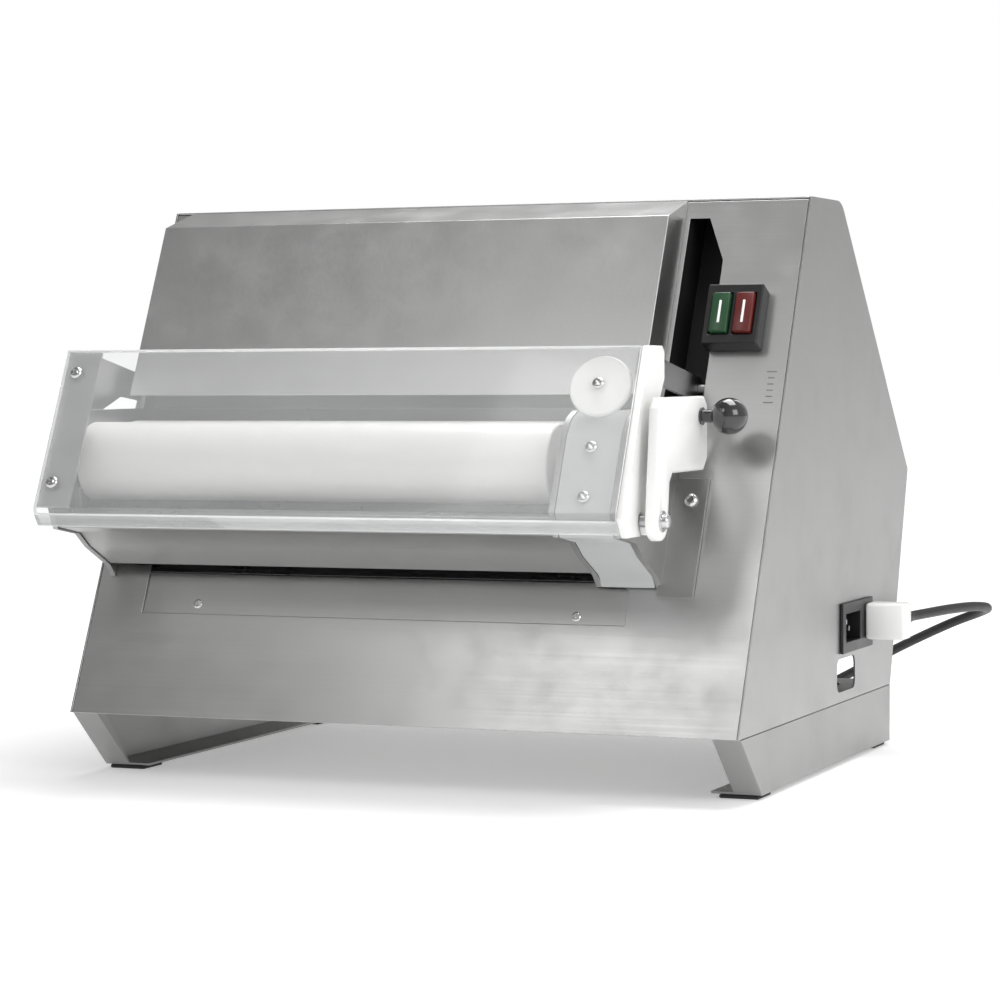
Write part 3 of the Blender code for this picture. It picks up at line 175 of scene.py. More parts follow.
class Graph:
    """The node tree of one material."""

    def __init__(self, name: str) -> None:
        """Make the material whose nodes these are."""
        self.material = bpy.data.materials.new(name)
        self.take_nodes(self.material, "Principled BSDF", "Object")

    def take_nodes(
        self, owner: Union[bpy.types.Material, bpy.types.World], shader: str, place: str
    ) -> None:
        """Switch the owner's nodes on, and find its shader and its coordinates.

        Args:
            owner: the material or the world.
            shader: the shader node's name.
            place: the coordinates that its patterns lie in.
        """
        owner.use_nodes = True
        self.tree = owner.node_tree
        self.shader = self.tree.nodes[shader]
        self.place = self.node("ShaderNodeTexCoord").outputs[place]

    def node(
        self, kind: str, settings: Optional[dict] = None, sockets: Optional[dict] = None
    ) -> bpy.types.Node:
        """Add a node.

        Args:
            kind: the node's type.
            settings: its own settings, set first.
            sockets: a value, a socket or a Value for each input, by name or number.

        Returns:
            The node.
        """
        node = self.tree.nodes.new(kind)
        for name, setting in (settings or {}).items():
            setattr(node, name, setting)
        for name, value in (sockets or {}).items():
            self.feed(node.inputs[name], value)
        return node

    def feed(self, socket: bpy.types.NodeSocket, value: object) -> None:
        """Link or set one input.

        Args:
            socket: the input.
            value: a Value, a socket, a number or a colour.
        """
        if isinstance(value, Value):
            self.tree.links.new(value.socket, socket)
        elif isinstance(value, bpy.types.NodeSocket):
            self.tree.links.new(value, socket)
        else:
            socket.default_value = value

    def set(self, **inputs: object) -> "Graph":
        """Feed the shader's inputs.

        Args:
            inputs: what each input takes, with the spaces in its name written as underscores.

        Returns:
            The same graph.
        """
        for name, value in inputs.items():
            self.feed(self.shader.inputs[name.replace("_", " ")], value)
        return self

    def noise(self, scale: float, stretch: Sequence[float] = (1.0, 1.0, 1.0), detail: float = 2.0) -> Value:
        """Soft noise over the piece.

        Args:
            scale: patches per metre.
            stretch: how much finer it is along each axis.
            detail: how many finer layers it has.

        Returns:
            A value around a half.
        """
        mapped = self.node(
            "ShaderNodeVectorMath", {"operation": "MULTIPLY"}, {0: self.place, 1: tuple(stretch)}
        )
        node = self.node(
            "ShaderNodeTexNoise", None, {"Vector": mapped.outputs[0], "Scale": scale, "Detail": detail}
        )
        return Value(self, node.outputs["Fac"])

    def ramp(self, value: Value, start: float, stop: float, first: float, last: float) -> Value:
        """Map a value evenly from one range to another, and hold it at the ends.

        Args:
            value: the value.
            start: where the ramp starts.
            stop: where it stops.
            first: the result up to the start.
            last: the result from the stop on.

        Returns:
            The mapped value.
        """
        sockets = {"Value": value, "From Min": start, "From Max": stop, "To Min": first, "To Max": last}
        return Value(self, self.node("ShaderNodeMapRange", None, sockets).outputs["Result"])

    def mix(self, factor: Number, first: object, second: object) -> bpy.types.NodeSocket:
        """Blend two colours.

        Args:
            factor: nought for the first, one for the second.
            first: a colour or a colour socket.
            second: a colour or a colour socket.

        Returns:
            The blended colour's socket.
        """
        node = self.node("ShaderNodeMix", {"data_type": "RGBA"})
        self.feed(node.inputs[MIX_FACTOR], factor)
        for socket, colour in ((MIX_FIRST, first), (MIX_SECOND, second)):
            linked = isinstance(colour, bpy.types.NodeSocket)
            self.feed(node.inputs[socket], colour if linked else (*colour, 1.0))
        return node.outputs[MIX_RESULT]

    def bump(self, height: Value, distance: float, strength: float = 0.5) -> bpy.types.NodeSocket:
        """Turn a height into a normal.

        Args:
            height: the height's value.
            distance: how tall one unit of it is.
            strength: how much of it shows.

        Returns:
            The normal's socket.
        """
        settings = {"Height": height, "Distance": distance, "Strength": strength}
        return self.node("ShaderNodeBump", None, settings).outputs["Normal"]


class WorldGraph(Graph):
    """The node tree of the room round the machine."""

    def __init__(self, name: str) -> None:
        """Make the world whose nodes these are."""
        self.world = bpy.data.worlds.new(name)
        self.take_nodes(self.world, "Background", "Generated")


class Grain(Enum):
    """The way a brushed sheet's fine lines run."""

    ACROSS = (4.0, 900.0, 900.0)
    UPRIGHT = (900.0, 900.0, 4.0)
    BACK = (900.0, 5.0, 900.0)


@dataclass(frozen=True)
class BrushedSteel:
    """Brushed stainless sheet: fine lines, faint cloudiness and fingerprints."""

    name: str
    grain: Grain
    tone: float = 0.62
    roughness: float = 0.30

    def material(self) -> bpy.types.Material:
        """Build the material.

        Returns:
            The material.
        """
        graph = Graph(self.name)
        lines = graph.noise(1.0, self.grain.value, 3.0)
        clouds = graph.noise(9.0, detail=3.0)
        smudges = graph.noise(34.0, detail=4.0)
        light, dark = self.tone * 1.06, self.tone * 0.90
        colour = graph.mix(
            lines * 0.6 + clouds * 0.4, (dark, dark, dark * 0.99), (light, light, light * 0.995)
        )
        rough = self.roughness - 0.09 + lines * 0.10 + clouds * 0.05 + (smudges ** 3.0) * 0.22
        normal = graph.bump(lines + smudges * 0.15, 0.00003, 0.35)
        graph.set(Base_Color=colour, Roughness=rough, Normal=normal, Metallic=1.0)
        return graph.material


@dataclass(frozen=True)
class MachinedSteel:
    """Turned or milled steel with fine tool marks."""

    name: str
    tone: float = 0.42
    tint: tuple = (1.0, 1.0, 1.02)
    roughness: float = 0.30

    def material(self) -> bpy.types.Material:
        """Build the material.

        Returns:
            The material.
        """
        graph = Graph(self.name)
        marks = graph.noise(1.0, (2600.0, 300.0, 300.0), 2.0)
        stain = graph.noise(45.0, detail=4.0)
        light = tuple(self.tone * 1.1 * part for part in self.tint)
        dark = tuple(self.tone * 0.8 * part for part in self.tint)
        colour = graph.mix(marks * 0.5 + stain * 0.5, dark, light)
        rough = self.roughness + (stain - 0.5) * 0.25
        graph.set(Base_Color=colour, Roughness=rough, Metallic=1.0, Normal=graph.bump(marks, 0.00004, 0.4))
        return graph.material


@dataclass(frozen=True)
class Plastic:
    """Moulded or turned plastic with a fine texture and a little dust."""

    name: str
    colour: tuple
    roughness: float = 0.4
    texture: float = 0.00003
    dust: float = 0.04
    coat: float = 0.0

    def material(self) -> bpy.types.Material:
        """Build the material.

        Returns:
            The material.
        """
        graph = Graph(self.name)
        fine = graph.noise(1500.0, detail=2.0)
        broad = graph.noise(28.0, detail=4.0)
        dusty = tuple(part + (0.75 - part) * self.dust for part in self.colour)
        darker = tuple(part * 0.93 for part in self.colour)
        colour = graph.mix(broad, darker, dusty)
        rough = self.roughness + (broad - 0.5) * 0.20 + (fine - 0.5) * 0.06
        normal = graph.bump(fine, self.texture, 0.4)
        graph.set(Base_Color=colour, Roughness=rough, Normal=normal, Coat_Weight=self.coat)
        return graph.material


@dataclass(frozen=True)
class RollerFace:
    """White food-grade roller with turning lines and a trace of flour."""

    name: str

    def material(self) -> bpy.types.Material:
        """Build the material.

        Returns:
            The material.
        """
        graph = Graph(self.name)
        turning = graph.noise(1.0, (1800.0, 12.0, 12.0), 2.0)
        flour = graph.noise(60.0, (1.0, 1.6, 1.6), 5.0)
        colour = graph.mix(flour ** 2.0, (0.84, 0.84, 0.82), (0.93, 0.92, 0.90))
        rough = 0.26 + turning * 0.08 + flour * 0.16
        normal = graph.bump(turning + flour * 0.4, 0.00004, 0.35)
        graph.set(Base_Color=colour, Roughness=rough, Normal=normal, Coat_Weight=0.25, Coat_Roughness=0.18)
        return graph.material


@dataclass(frozen=True)
class ClearSheet:
    """Clear polycarbonate, faintly hazy; the paler, nearly opaque edge setting is a painted highlight along
    the guard's cut edges.
    """

    name: str
    haze_and_edge_glow: float
    colour: tuple = (0.92, 0.93, 0.93)

    def material(self) -> bpy.types.Material:
        """Build the material.

        Returns:
            The material.
        """
        graph = Graph(self.name)
        wipes = graph.noise(7.0, (1.0, 5.0, 5.0), 4.0)
        # Opacity from real haze on the sheet; set high, the same opacity paints the edge highlight.
        alpha = self.haze_and_edge_glow * 0.7 + wipes * (self.haze_and_edge_glow * 0.6)
        graph.set(
            Base_Color=graph.mix(wipes, tuple(part * 0.95 for part in self.colour), self.colour),
            Roughness=0.05 + wipes * 0.08,
            Alpha=alpha,
            Normal=graph.bump(wipes, 0.0001, 0.15),
            Coat_Weight=0.6,
            Coat_Roughness=0.04,
        )
        return graph.material


@dataclass(frozen=True)
class Rubber:
    """Matt black rubber with a dry bloom."""

    name: str
    colour: tuple = (0.022, 0.022, 0.023)
    roughness: float = 0.62

    def material(self) -> bpy.types.Material:
        """Build the material.

        Returns:
            The material.
        """
        graph = Graph(self.name)
        bloom = graph.noise(90.0, detail=4.0)
        grain = graph.noise(1300.0, detail=2.0)
        colour = graph.mix(bloom ** 2.0, self.colour, tuple(part * 2.3 for part in self.colour))
        rough = self.roughness + (bloom - 0.5) * 0.2
        graph.set(Base_Color=colour, Roughness=rough, Normal=graph.bump(grain, 0.00006, 0.4))
        return graph.material


@dataclass(frozen=True)
class SprayPaint:
    """Sprayed enamel over a casting, with orange peel and a few worn specks."""

    name: str
    colour: tuple = (0.10, 0.12, 0.14)

    def material(self) -> bpy.types.Material:
        """Build the material.

        Returns:
            The material.
        """
        graph = Graph(self.name)
        peel = graph.noise(420.0, detail=2.0)
        wear = graph.noise(150.0, detail=5.0).above(0.70)
        colour = graph.mix(wear, self.colour, (0.45, 0.45, 0.44))
        normal = graph.bump(peel, 0.0001, 0.3)
        graph.set(Base_Color=colour, Roughness=0.42 + peel * 0.12, Metallic=wear * 0.8, Normal=normal)
        return graph.material


class Finish(Enum):
    """Every finish on the machine."""

    FRONT_STEEL = BrushedSteel("front_brushed_steel", Grain.ACROSS, 0.56, 0.33)
    CHUTE_STEEL = BrushedSteel("chute_brushed_steel", Grain.UPRIGHT, 0.60, 0.33)
    SIDE_STEEL = BrushedSteel("side_brushed_steel", Grain.UPRIGHT, 0.41, 0.37)
    SHEET_STEEL = BrushedSteel("sheet_brushed_steel", Grain.ACROSS, 0.50, 0.36)
    FOOT_STEEL = BrushedSteel("foot_brushed_steel", Grain.BACK, 0.38, 0.40)
    MACHINED = MachinedSteel("machined_steel")
    # Painted shade: the scrapers' steel is toned far darker than the other machined steel, standing in for
    # the shadowed band behind the rear roller.
    SCRAPER = MachinedSteel("scraper_dark_steel", 0.12)
    BRIGHT = MachinedSteel("bright_screw_steel", 0.66, (1.0, 1.0, 1.0), 0.22)
    BRONZE = MachinedSteel("sintered_bronze", 0.48, (1.15, 0.80, 0.40), 0.40)
    ROLLER = RollerFace("roller_white_plastic")
    WHITE = Plastic("white_moulded_plastic", (0.92, 0.92, 0.905), 0.34, coat=0.15)
    GEAR = Plastic("gear_white_nylon", (0.80, 0.79, 0.74), 0.42)
    GREY = Plastic("grey_moulded_plastic", (0.50, 0.51, 0.51), 0.42)
    BLACK = Plastic("black_moulded_plastic", (0.008, 0.008, 0.0085), 0.36, dust=0.006)
    LINER = Plastic("matt_black_liner", (0.005, 0.005, 0.005), 0.60, dust=0.004)
    BALL = Plastic("ball_knob_phenolic", (0.010, 0.010, 0.011), 0.14, 0.000004, 0.015, 0.8)
    START = Plastic("start_button_green", (0.012, 0.060, 0.022), 0.32, dust=0.01)
    STOP = Plastic("stop_button_red", (0.105, 0.010, 0.008), 0.32, dust=0.01)
    MARK = Plastic("dial_mark_ink", (0.16, 0.16, 0.16), 0.55)
    CLEAR = ClearSheet("clear_guard_sheet", 0.20, (0.84, 0.85, 0.85))
    # Painted highlight: a paler, nearly opaque copy of the clear sheet, standing in for light caught in its
    # cut edges.
    CLEAR_EDGE = ClearSheet("clear_guard_edge", 0.88, (0.94, 0.95, 0.95))
    RUBBER = Rubber("black_rubber")
    CORD = Rubber("cord_jacket", (0.012, 0.012, 0.013), 0.48)
    PAINT = SprayPaint("motor_enamel")

    def dress(self, piece: bpy.types.Object) -> bpy.types.Object:
        """Give a piece this finish.

        Args:
            piece: a mesh or curve object.

        Returns:
            The same piece.
        """
        material = bpy.data.materials.get(self.value.name) or self.value.material()
        piece.data.materials.clear()
        piece.data.materials.append(material)
        return piece


def smooth_by_angle(mesh: bpy.types.Mesh, degrees: float = 34.0) -> None:
    """Shade a mesh smooth with its real edges sharp."""
    mesh.shade_smooth()
    mesh.set_sharp_from_angle(angle=math.radians(degrees))


def add_piece(
    name: str, bm: bmesh.types.BMesh, finish: Finish, body: str, turn: Optional[Matrix] = None
) -> bpy.types.Object:
    """Turn a bmesh into a piece that rides on a body.

    Args:
        name: the piece's name.
        bm: its mesh, which is used up.
        finish: its finish.
        body: the body it moves with.
        turn: where the mesh goes; its own coordinates are kept when it is left out.

    Returns:
        The piece.
    """
    bmesh.ops.recalc_face_normals(bm, faces=bm.faces)
    if turn is not None:
        bmesh.ops.transform(bm, matrix=turn, verts=bm.verts)
    mesh = bpy.data.meshes.new(name)
    bm.to_mesh(mesh)
    bm.free()
    piece = bpy.data.objects.new(name, mesh)
    bpy.context.scene.collection.objects.link(piece)
    smooth_by_angle(mesh)
    finish.dress(piece)
    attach(piece, body)
    return piece


def soften(piece: bpy.types.Object, width: float, segments: int = 2) -> bpy.types.Object:
    """Round a piece's sharp edges.

    Args:
        piece: the piece.
        width: how wide the rounding is.
        segments: how many facets it has.

    Returns:
        The same piece.
    """
    bevel = piece.modifiers.new("soft_edges", "BEVEL")
    bevel.width = width
    bevel.segments = segments
    bevel.limit_method = "ANGLE"
    bevel.angle_limit = math.radians(32.0)
    bevel.harden_normals = True
    return piece


def from_solid(node: str, finish: Finish, width: float = 0.0004, segments: int = 2) -> bpy.types.Object:
    """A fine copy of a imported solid, with clean faces and rounded edges, that stands for it.

    Args:
        node: the solid's node.
        finish: its finish.
        width: how wide its edges are rounded; nought leaves them as they are.
        segments: how many facets the rounding has.

    Returns:
        The new piece.
    """
    bm = bmesh.new()
    bm.from_mesh(frame["nodes"][node].data)
    bmesh.ops.remove_doubles(bm, verts=bm.verts, dist=2e-6)
    bmesh.ops.dissolve_limit(bm, angle_limit=math.radians(0.6), verts=bm.verts, edges=bm.edges)
    piece = add_piece(f"{node}_fine", bm, finish, BODY_OF[node])
    if width:
        soften(piece, width, segments)
    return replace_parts(piece, node)


def turned(profile: Iterable[tuple], steps: int = 48, closed: bool = False) -> bmesh.types.BMesh:
    """A solid turned about the X axis.

    Args:
        profile: (x, radius) points.
        steps: facets round it.
        closed: whether the profile is a ring that doesn't touch the axis.

    Returns:
        The mesh.
    """
    bm = bmesh.new()
    line = [bm.verts.new((x, 0.0, radius)) for x, radius in profile]
    edges = [bm.edges.new(pair) for pair in zip(line, line[1:])]
    if closed:
        edges.append(bm.edges.new((line[-1], line[0])))
    bmesh.ops.spin(
        bm,
        geom=line + edges,
        cent=(0, 0, 0),
        axis=(1, 0, 0),
        angle=math.tau,
        steps=steps,
        use_duplicate=False,
    )
    bmesh.ops.remove_doubles(bm, verts=bm.verts, dist=1e-6)
    return bm


def block(low: Point, high: Point) -> bmesh.types.BMesh:
    """A block between two corners.

    Args:
        low: its left, front, bottom corner.
        high: its right, rear, top corner.

    Returns:
        The mesh.
    """
    bm = bmesh.new()
    size = Vector(high) - Vector(low)
    centre = (Vector(high) + Vector(low)) / 2
    bmesh.ops.create_cube(bm, size=1.0, matrix=Matrix.Translation(centre) @ Matrix.Diagonal((*size, 1.0)))
    return bm


def slab(outline: Sequence[tuple], low: float, high: float) -> bmesh.types.BMesh:
    """A straight solid along X.

    Args:
        outline: the (y, z) points of its section.
        low: its left end.
        high: its right end.

    Returns:
        The mesh.
    """
    bm = bmesh.new()
    base = bm.faces.new([bm.verts.new((low, y, z)) for y, z in outline])
    grown = bmesh.ops.extrude_face_region(bm, geom=[base])
    moved = [item for item in grown["geom"] if isinstance(item, bmesh.types.BMVert)]
    bmesh.ops.translate(bm, verts=moved, vec=(high - low, 0, 0))
    return bm


def facing(point: Vector, out: Vector) -> Matrix:
    """The matrix that takes the X axis to a direction out of a surface, at a point on it."""
    return Matrix.Translation(point) @ Vector((1, 0, 0)).rotation_difference(out).to_matrix().to_4x4()


class Drive(Enum):
    """The recess in a screw's head."""

    CROSS = "cross"
    HEX = "hex"


@dataclass
class Screw:
    """One screw head with its recess, sunk a little into the sheet under it."""

    name: str
    body: str
    point: Vector
    out: Vector
    radius: float = 0.0036
    height: float = 0.0019
    drive: Drive = Drive.CROSS

    def build(self) -> bpy.types.Object:
        """Make the head and cut its recess.

        Returns:
            The screw.
        """
        radius, height = self.radius, self.height
        profile = [(-0.0002, 0.0), (-0.0002, radius), (height * 0.35, radius), (height * 0.7, radius * 0.86)]
        profile += [(height * 0.93, radius * 0.55), (height, radius * 0.25), (height, 0.0)]
        turn = facing(self.point, self.out)
        piece = add_piece(self.name, turned(profile, 28), Finish.BRIGHT, self.body, turn)
        for index in range(2 if self.drive is Drive.CROSS else 3):
            self.recess(piece, index, turn)
        return piece

    def recess(self, piece: bpy.types.Object, index: int, turn: Matrix) -> None:
        """Cut one bar of the recess.

        Args:
            piece: the screw head.
            index: which bar.
            turn: where the head is.
        """
        cross = self.drive is Drive.CROSS
        wide, tall = (0.16, 0.62) if cross else (0.29, 0.50)
        bar = block(
            (self.height * 0.45, -self.radius * wide, -self.radius * tall),
            (self.height * 1.4, self.radius * wide, self.radius * tall),
        )
        angle = index * (90.0 if cross else 60.0) + 20.0
        bmesh.ops.transform(bar, matrix=turn @ Matrix.Rotation(math.radians(angle), 4, "X"), verts=bar.verts)
        mesh = bpy.data.meshes.new(f"{self.name}_recess_{index}")
        bar.to_mesh(mesh)
        bar.free()
        cutter = bpy.data.objects.new(mesh.name, mesh)
        bpy.context.scene.collection.objects.link(cutter)
        boolean = piece.modifiers.new(f"recess_{index}", "BOOLEAN")
        boolean.operation = "DIFFERENCE"
        boolean.object = cutter
        with_recess = piece.evaluated_get(bpy.context.evaluated_depsgraph_get())
        result = bpy.data.meshes.new_from_object(with_recess)
        piece.modifiers.clear()
        piece.data = result
        bpy.data.objects.remove(cutter)


@dataclass
class Studio:
    """The floor, the soft lights and the camera."""

    place: Vector = field(default_factory=lambda: Vector((0.86287, -2.09669, 0.29298)))
    yaw: float = 22.269
    pitch: float = 2.545
    roll: float = -0.3605
    lens: float = 110.83
    left_room: float = 0.26
    right_room: float = 0.62
    room_ramp: tuple = (-0.40, 0.50)
    floor_half: float = 40.0
    floor_ramp: tuple = (0.7, 2.6)

    def build(self) -> None:
        """Make the camera, then the floor and the lights."""
        self.make_camera()
        self.make_floor()
        self.make_world()
        self.light("front_softbox", (-0.40, -1.32, 1.18), (0.20, -0.12, 0.15), (0.32, 0.54), 1.80)
        self.light("top_softbox", (0.15, 0.22, 1.65), (0.00, 0.05, 0.20), (1.5, 0.8), 24.0)
        self.light("right_softbox", (1.55, -0.95, 0.95), (0.20, -0.05, 0.20), (0.9, 0.9), 10.0)

    def make_camera(self) -> None:
        """Stand the camera where it looks at the machine from the right front."""
        yaw, pitch = math.radians(self.yaw), math.radians(self.pitch)
        ahead = Vector((-math.sin(yaw) * math.cos(pitch), math.cos(yaw) * math.cos(pitch), -math.sin(pitch)))
        right = Vector((math.cos(yaw), math.sin(yaw), 0.0))
        over = right.cross(ahead)
        roll = math.radians(self.roll)
        side = right * math.cos(roll) + over * math.sin(roll)
        up = over * math.cos(roll) - right * math.sin(roll)
        data = bpy.data.cameras.new("camera")
        data.lens = self.lens
        data.sensor_width = 36.0
        camera = bpy.data.objects.new("camera", data)
        turn = Matrix((side, up, -ahead)).transposed()
        camera.matrix_world = Matrix.Translation(self.place) @ turn.to_4x4()
        bpy.context.scene.collection.objects.link(camera)
        bpy.context.scene.camera = camera

    def make_floor(self) -> None:
        """Lay the plain pale floor."""
        bm = bmesh.new()
        bmesh.ops.create_grid(bm, x_segments=1, y_segments=1, size=self.floor_half)
        mesh = bpy.data.meshes.new("floor")
        bm.to_mesh(mesh)
        bm.free()
        floor = bpy.data.objects.new("floor", mesh)
        bpy.context.scene.collection.objects.link(floor)
        graph = Graph("pale_floor")
        speck = graph.noise(3.0)
        graph.set(Base_Color=graph.mix(speck, (0.86, 0.86, 0.86), (0.88, 0.88, 0.88)), Roughness=0.75)
        reach = graph.node("ShaderNodeVectorMath", {"operation": "LENGTH"}, {0: graph.place})
        far = graph.ramp(Value(graph, reach.outputs["Value"]), *self.floor_ramp, 0.0, 1.0)
        glow = graph.mix(far, (0.30, 0.30, 0.30), (0.75, 0.75, 0.75))
        graph.set(Emission_Color=glow, Emission_Strength=1.0)
        mesh.materials.append(graph.material)

    def make_world(self) -> None:
        """Fill the room with soft light that is paler on the right, in front of a white wall."""
        graph = WorldGraph("studio")
        across = graph.node("ShaderNodeSeparateXYZ", None, {0: graph.place}).outputs["X"]
        room = graph.ramp(Value(graph, across), *self.room_ramp, self.left_room, self.right_room)
        wall = Value(graph, graph.node("ShaderNodeLightPath").outputs["Is Camera Ray"])
        graph.set(Color=(1.0, 1.0, 1.0, 1.0), Strength=room.at_least(wall))
        bpy.context.scene.world = graph.world
        bpy.context.scene.view_settings.view_transform = "Standard"

    def light(self, name: str, place: tuple, aim: tuple, size: tuple, power: float) -> None:
        """Hang one softbox.

        Args:
            name: its name.
            place: where it hangs.
            aim: the point it faces.
            size: its width and height.
            power: its power in watts.
        """
        data = bpy.data.lights.new(name, "AREA")
        data.shape = "RECTANGLE"
        data.size, data.size_y = size
        data.energy = power
        lamp = bpy.data.objects.new(name, data)
        lamp.location = place
        lamp.rotation_euler = (Vector(aim) - Vector(place)).to_track_quat("-Z", "Y").to_euler()
        bpy.context.scene.collection.objects.link(lamp)


@dataclass
class MainsLead:
    """The detachable mains lead: connector, strain relief, cord with its coil, and plug."""

    start: Vector = field(default_factory=lambda: Vector((0.27175, 0.15926, 0.1005)))
    inside: Vector = field(default_factory=lambda: Vector((0.0, 0.018, 0.0)))
    relief_length: float = 0.0294
    relief_gap: float = 0.0013
    lie: float = 0.00395
    radius: float = 0.00375
    coil_radii: tuple = (0.0495, 0.0420, 0.0345, 0.0345, 0.0420, 0.0495)
    coil_beside: float = 0.028
    coil_behind: float = 0.050
    coil_steps: int = 20
    floor_turns: int = 2
    length: float = 1.80
    route: tuple = (
        (0.0000, 0.0000, 1.000),
        (0.0060, 0.0272, 1.005),
        (0.0150, 0.0672, 1.010),
        (0.0230, 0.1072, 1.000),
        (0.0255, 0.1422, 0.964),
        (0.0130, 0.1742, 0.902),
        (-0.0170, 0.1872, 0.778),
        (-0.0580, 0.1852, 0.571),
        (-0.1010, 0.1792, 0.323),
        (-0.1380, 0.1712, 0.126),
        (-0.1700, 0.1657, 0.028),
        (-0.1990, 0.1630, 0.000),
        (-0.2250, 0.1622, 0.000),
    )
    to_plug: tuple = ((0.0, 0.01145), (0.016, 0.0117), (0.032, 0.0124), (0.050, 0.0130))
    plug_ring: int = 28
    plug_pin: float = 0.0062
    plug_tall: float = 0.013
    plug_sections: tuple = (
        (0.00, 0.0150, 0.0120),
        (0.03, 0.0159, 0.0129),
        (0.34, 0.0159, 0.0129),
        (0.40, 0.0148, 0.0118),
        (0.46, 0.0148, 0.0118),
        (0.60, 0.0128, 0.0112),
        (0.78, 0.0082, 0.0078),
        (0.92, 0.0062, 0.0062),
        (1.00, 0.0054, 0.0054),
    )

    def build(self) -> None:
        """Make the cord and the pieces on it."""
        relief = self.make_relief()
        connector = from_solid("cord_connector", Finish.WHITE, 0.0008, 2)
        plug = self.make_plug()
        cord = self.make_cord()
        tie = self.make_tie()

    def centre(self) -> Vector:
        """The middle of the coil, on the floor.

        Returns:
            The point.
        """
        right, behind, _ = self.route[-1]
        x = self.start.x + right - self.coil_beside
        y = self.start.y + behind + self.coil_behind
        return Vector((x, y, 0.0))

    def free_points(self) -> list:
        """The cord's route from inside the strain relief to the coil.

        Returns:
            The points along it.
        """
        drop = self.start.z - self.lie
        points = [self.start - self.inside]
        for right, behind, share in self.route:
            points.append(Vector((self.start.x + right, self.start.y + behind, self.lie + drop * share)))
        return points

    def coil_points(self) -> list:
        """The coil's turns, wound clockwise inwards on the floor and outwards on top.

        Returns:
            The points along its turns and on to the plug.
        """
        centre = self.centre()
        points = []
        for turn, (first, last) in enumerate(zip(self.coil_radii, self.coil_radii[1:])):
            for step in range(self.coil_steps):
                share = step / self.coil_steps
                angle = -math.pi / 2 - math.tau * share
                rise = min(max(turn + share - self.floor_turns, 0.0), 1.0)
                reach = first + (last - first) * share
                height = self.lie + rise * 2 * self.radius
                points.append(centre + Vector((reach * math.cos(angle), reach * math.sin(angle), height)))
        reach = self.coil_radii[-1]
        for back, height in self.to_plug:
            points.append(centre + Vector((-back, -reach, height)))
        return points

    def make_cord(self) -> bpy.types.Object:
        """Make the cord as one tube along its whole line.

        Returns:
            The cord.
        """
        points = smooth_line(self.free_points() + self.coil_points(), 0.004)
        curve = bpy.data.curves.new("mains_cord_fine", "CURVE")
        curve.dimensions = "3D"
        curve.bevel_depth = self.radius
        curve.bevel_resolution = 5
        curve.use_fill_caps = True
        spline = curve.splines.new("POLY")
        spline.points.add(len(points) - 1)
        for target, point in zip(spline.points, points):
            target.co = (*point, 1.0)
        cord = bpy.data.objects.new("mains_cord_fine", curve)
        bpy.context.scene.collection.objects.link(cord)
        Finish.CORD.dress(cord)
        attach(cord, "housing")
        LOG.info("cord line %.3f m", sum((b - a).length for a, b in zip(points, points[1:])))
        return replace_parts(cord, "mains_cord", "cord_coil")

    def oval_ring(self, bm: bmesh.types.BMesh, x: float, middle: Vector, wide: float, tall: float) -> list:
        """Add one rounded-square ring across the plug.

        Args:
            bm: the plug's mesh.
            x: the ring's place along the plug.
            middle: the plug's centre.
            wide: half its width.
            tall: half its height.

        Returns:
            The ring's vertices.
        """
        ring = []
        for step in range(self.plug_ring):
            angle = math.tau * step / self.plug_ring
            across, over = math.cos(angle), math.sin(angle)
            square = (abs(across) ** 4 + abs(over) ** 4) ** -0.25
            drop = max(0.0, self.plug_tall - tall) * 0.6
            place = (x, middle.y + wide * across * square, middle.z + tall * over * square - drop)
            ring.append(bm.verts.new(place))
        return ring

    def make_tie(self) -> bpy.types.Object:
        """Loop a flat tie round the coil's turns, with its twisted head on top.

        Returns:
            The tie.
        """
        clear, thick, half_wide, floor = 0.0042, 0.0009, 0.002, 0.0003
        low, high = self.coil_radii[2] - clear, self.coil_radii[0] + clear
        top = self.lie + 3 * self.radius + 0.0008
        corners = ((low, floor), (high, floor), (high, top), (low, top))
        bm = bmesh.new()
        rings = []
        for x in (-half_wide, half_wide):
            for shrink in (0.0, thick):
                ring = []
                for y, z in corners:
                    inward = shrink if y == low else -shrink
                    lift = shrink if z == floor else -shrink
                    ring.append(bm.verts.new((x, y + inward, z + lift)))
                rings.append(ring)
        for first, second in ((0, 1), (1, 3), (3, 2), (2, 0)):
            for index in range(4):
                after = (index + 1) % 4
                a, b = rings[first], rings[second]
                bm.faces.new((a[index], a[after], b[after], b[index]))
        head = Matrix.Translation((0, (low + high) / 2, top)) @ Matrix.Diagonal((0.006, 0.004, 0.003, 1))
        bmesh.ops.create_cube(bm, size=1.0, matrix=head)
        tie = add_piece("cord_tie", bm, Finish.BLACK, "housing", Matrix.Translation(self.centre()))
        return soften(tie, 0.0003)

    def make_relief(self) -> bpy.types.Object:
        """Make the ribbed strain relief.

        Returns:
            The strain relief.
        """
        pitch, taper, groove = 0.0046, 0.00036, 0.0012
        end = self.relief_length
        profile = [(0.0, 0.0), (0.0, 0.0062), (0.004, 0.0062)]
        for rib in range(5):
            x = 0.0045 + rib * pitch
            reach = 0.0060 - rib * taper
            valley = reach - groove
            profile += [(x, valley), (x + 0.0010, valley), (x + 0.0014, reach), (x + 0.0042, reach)]
        profile += [(end - 0.0006, 0.0041), (end, 0.0038), (end, 0.0)]
        foot = self.start - Vector((0.0, end + self.relief_gap, 0.0))
        turn = Matrix.Translation(foot) @ Matrix.Rotation(math.pi / 2, 4, "Z")
        relief = add_piece("strain_relief_fine", turned(profile, 32), Finish.CORD, "housing", turn)
        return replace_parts(relief, "strain_relief")

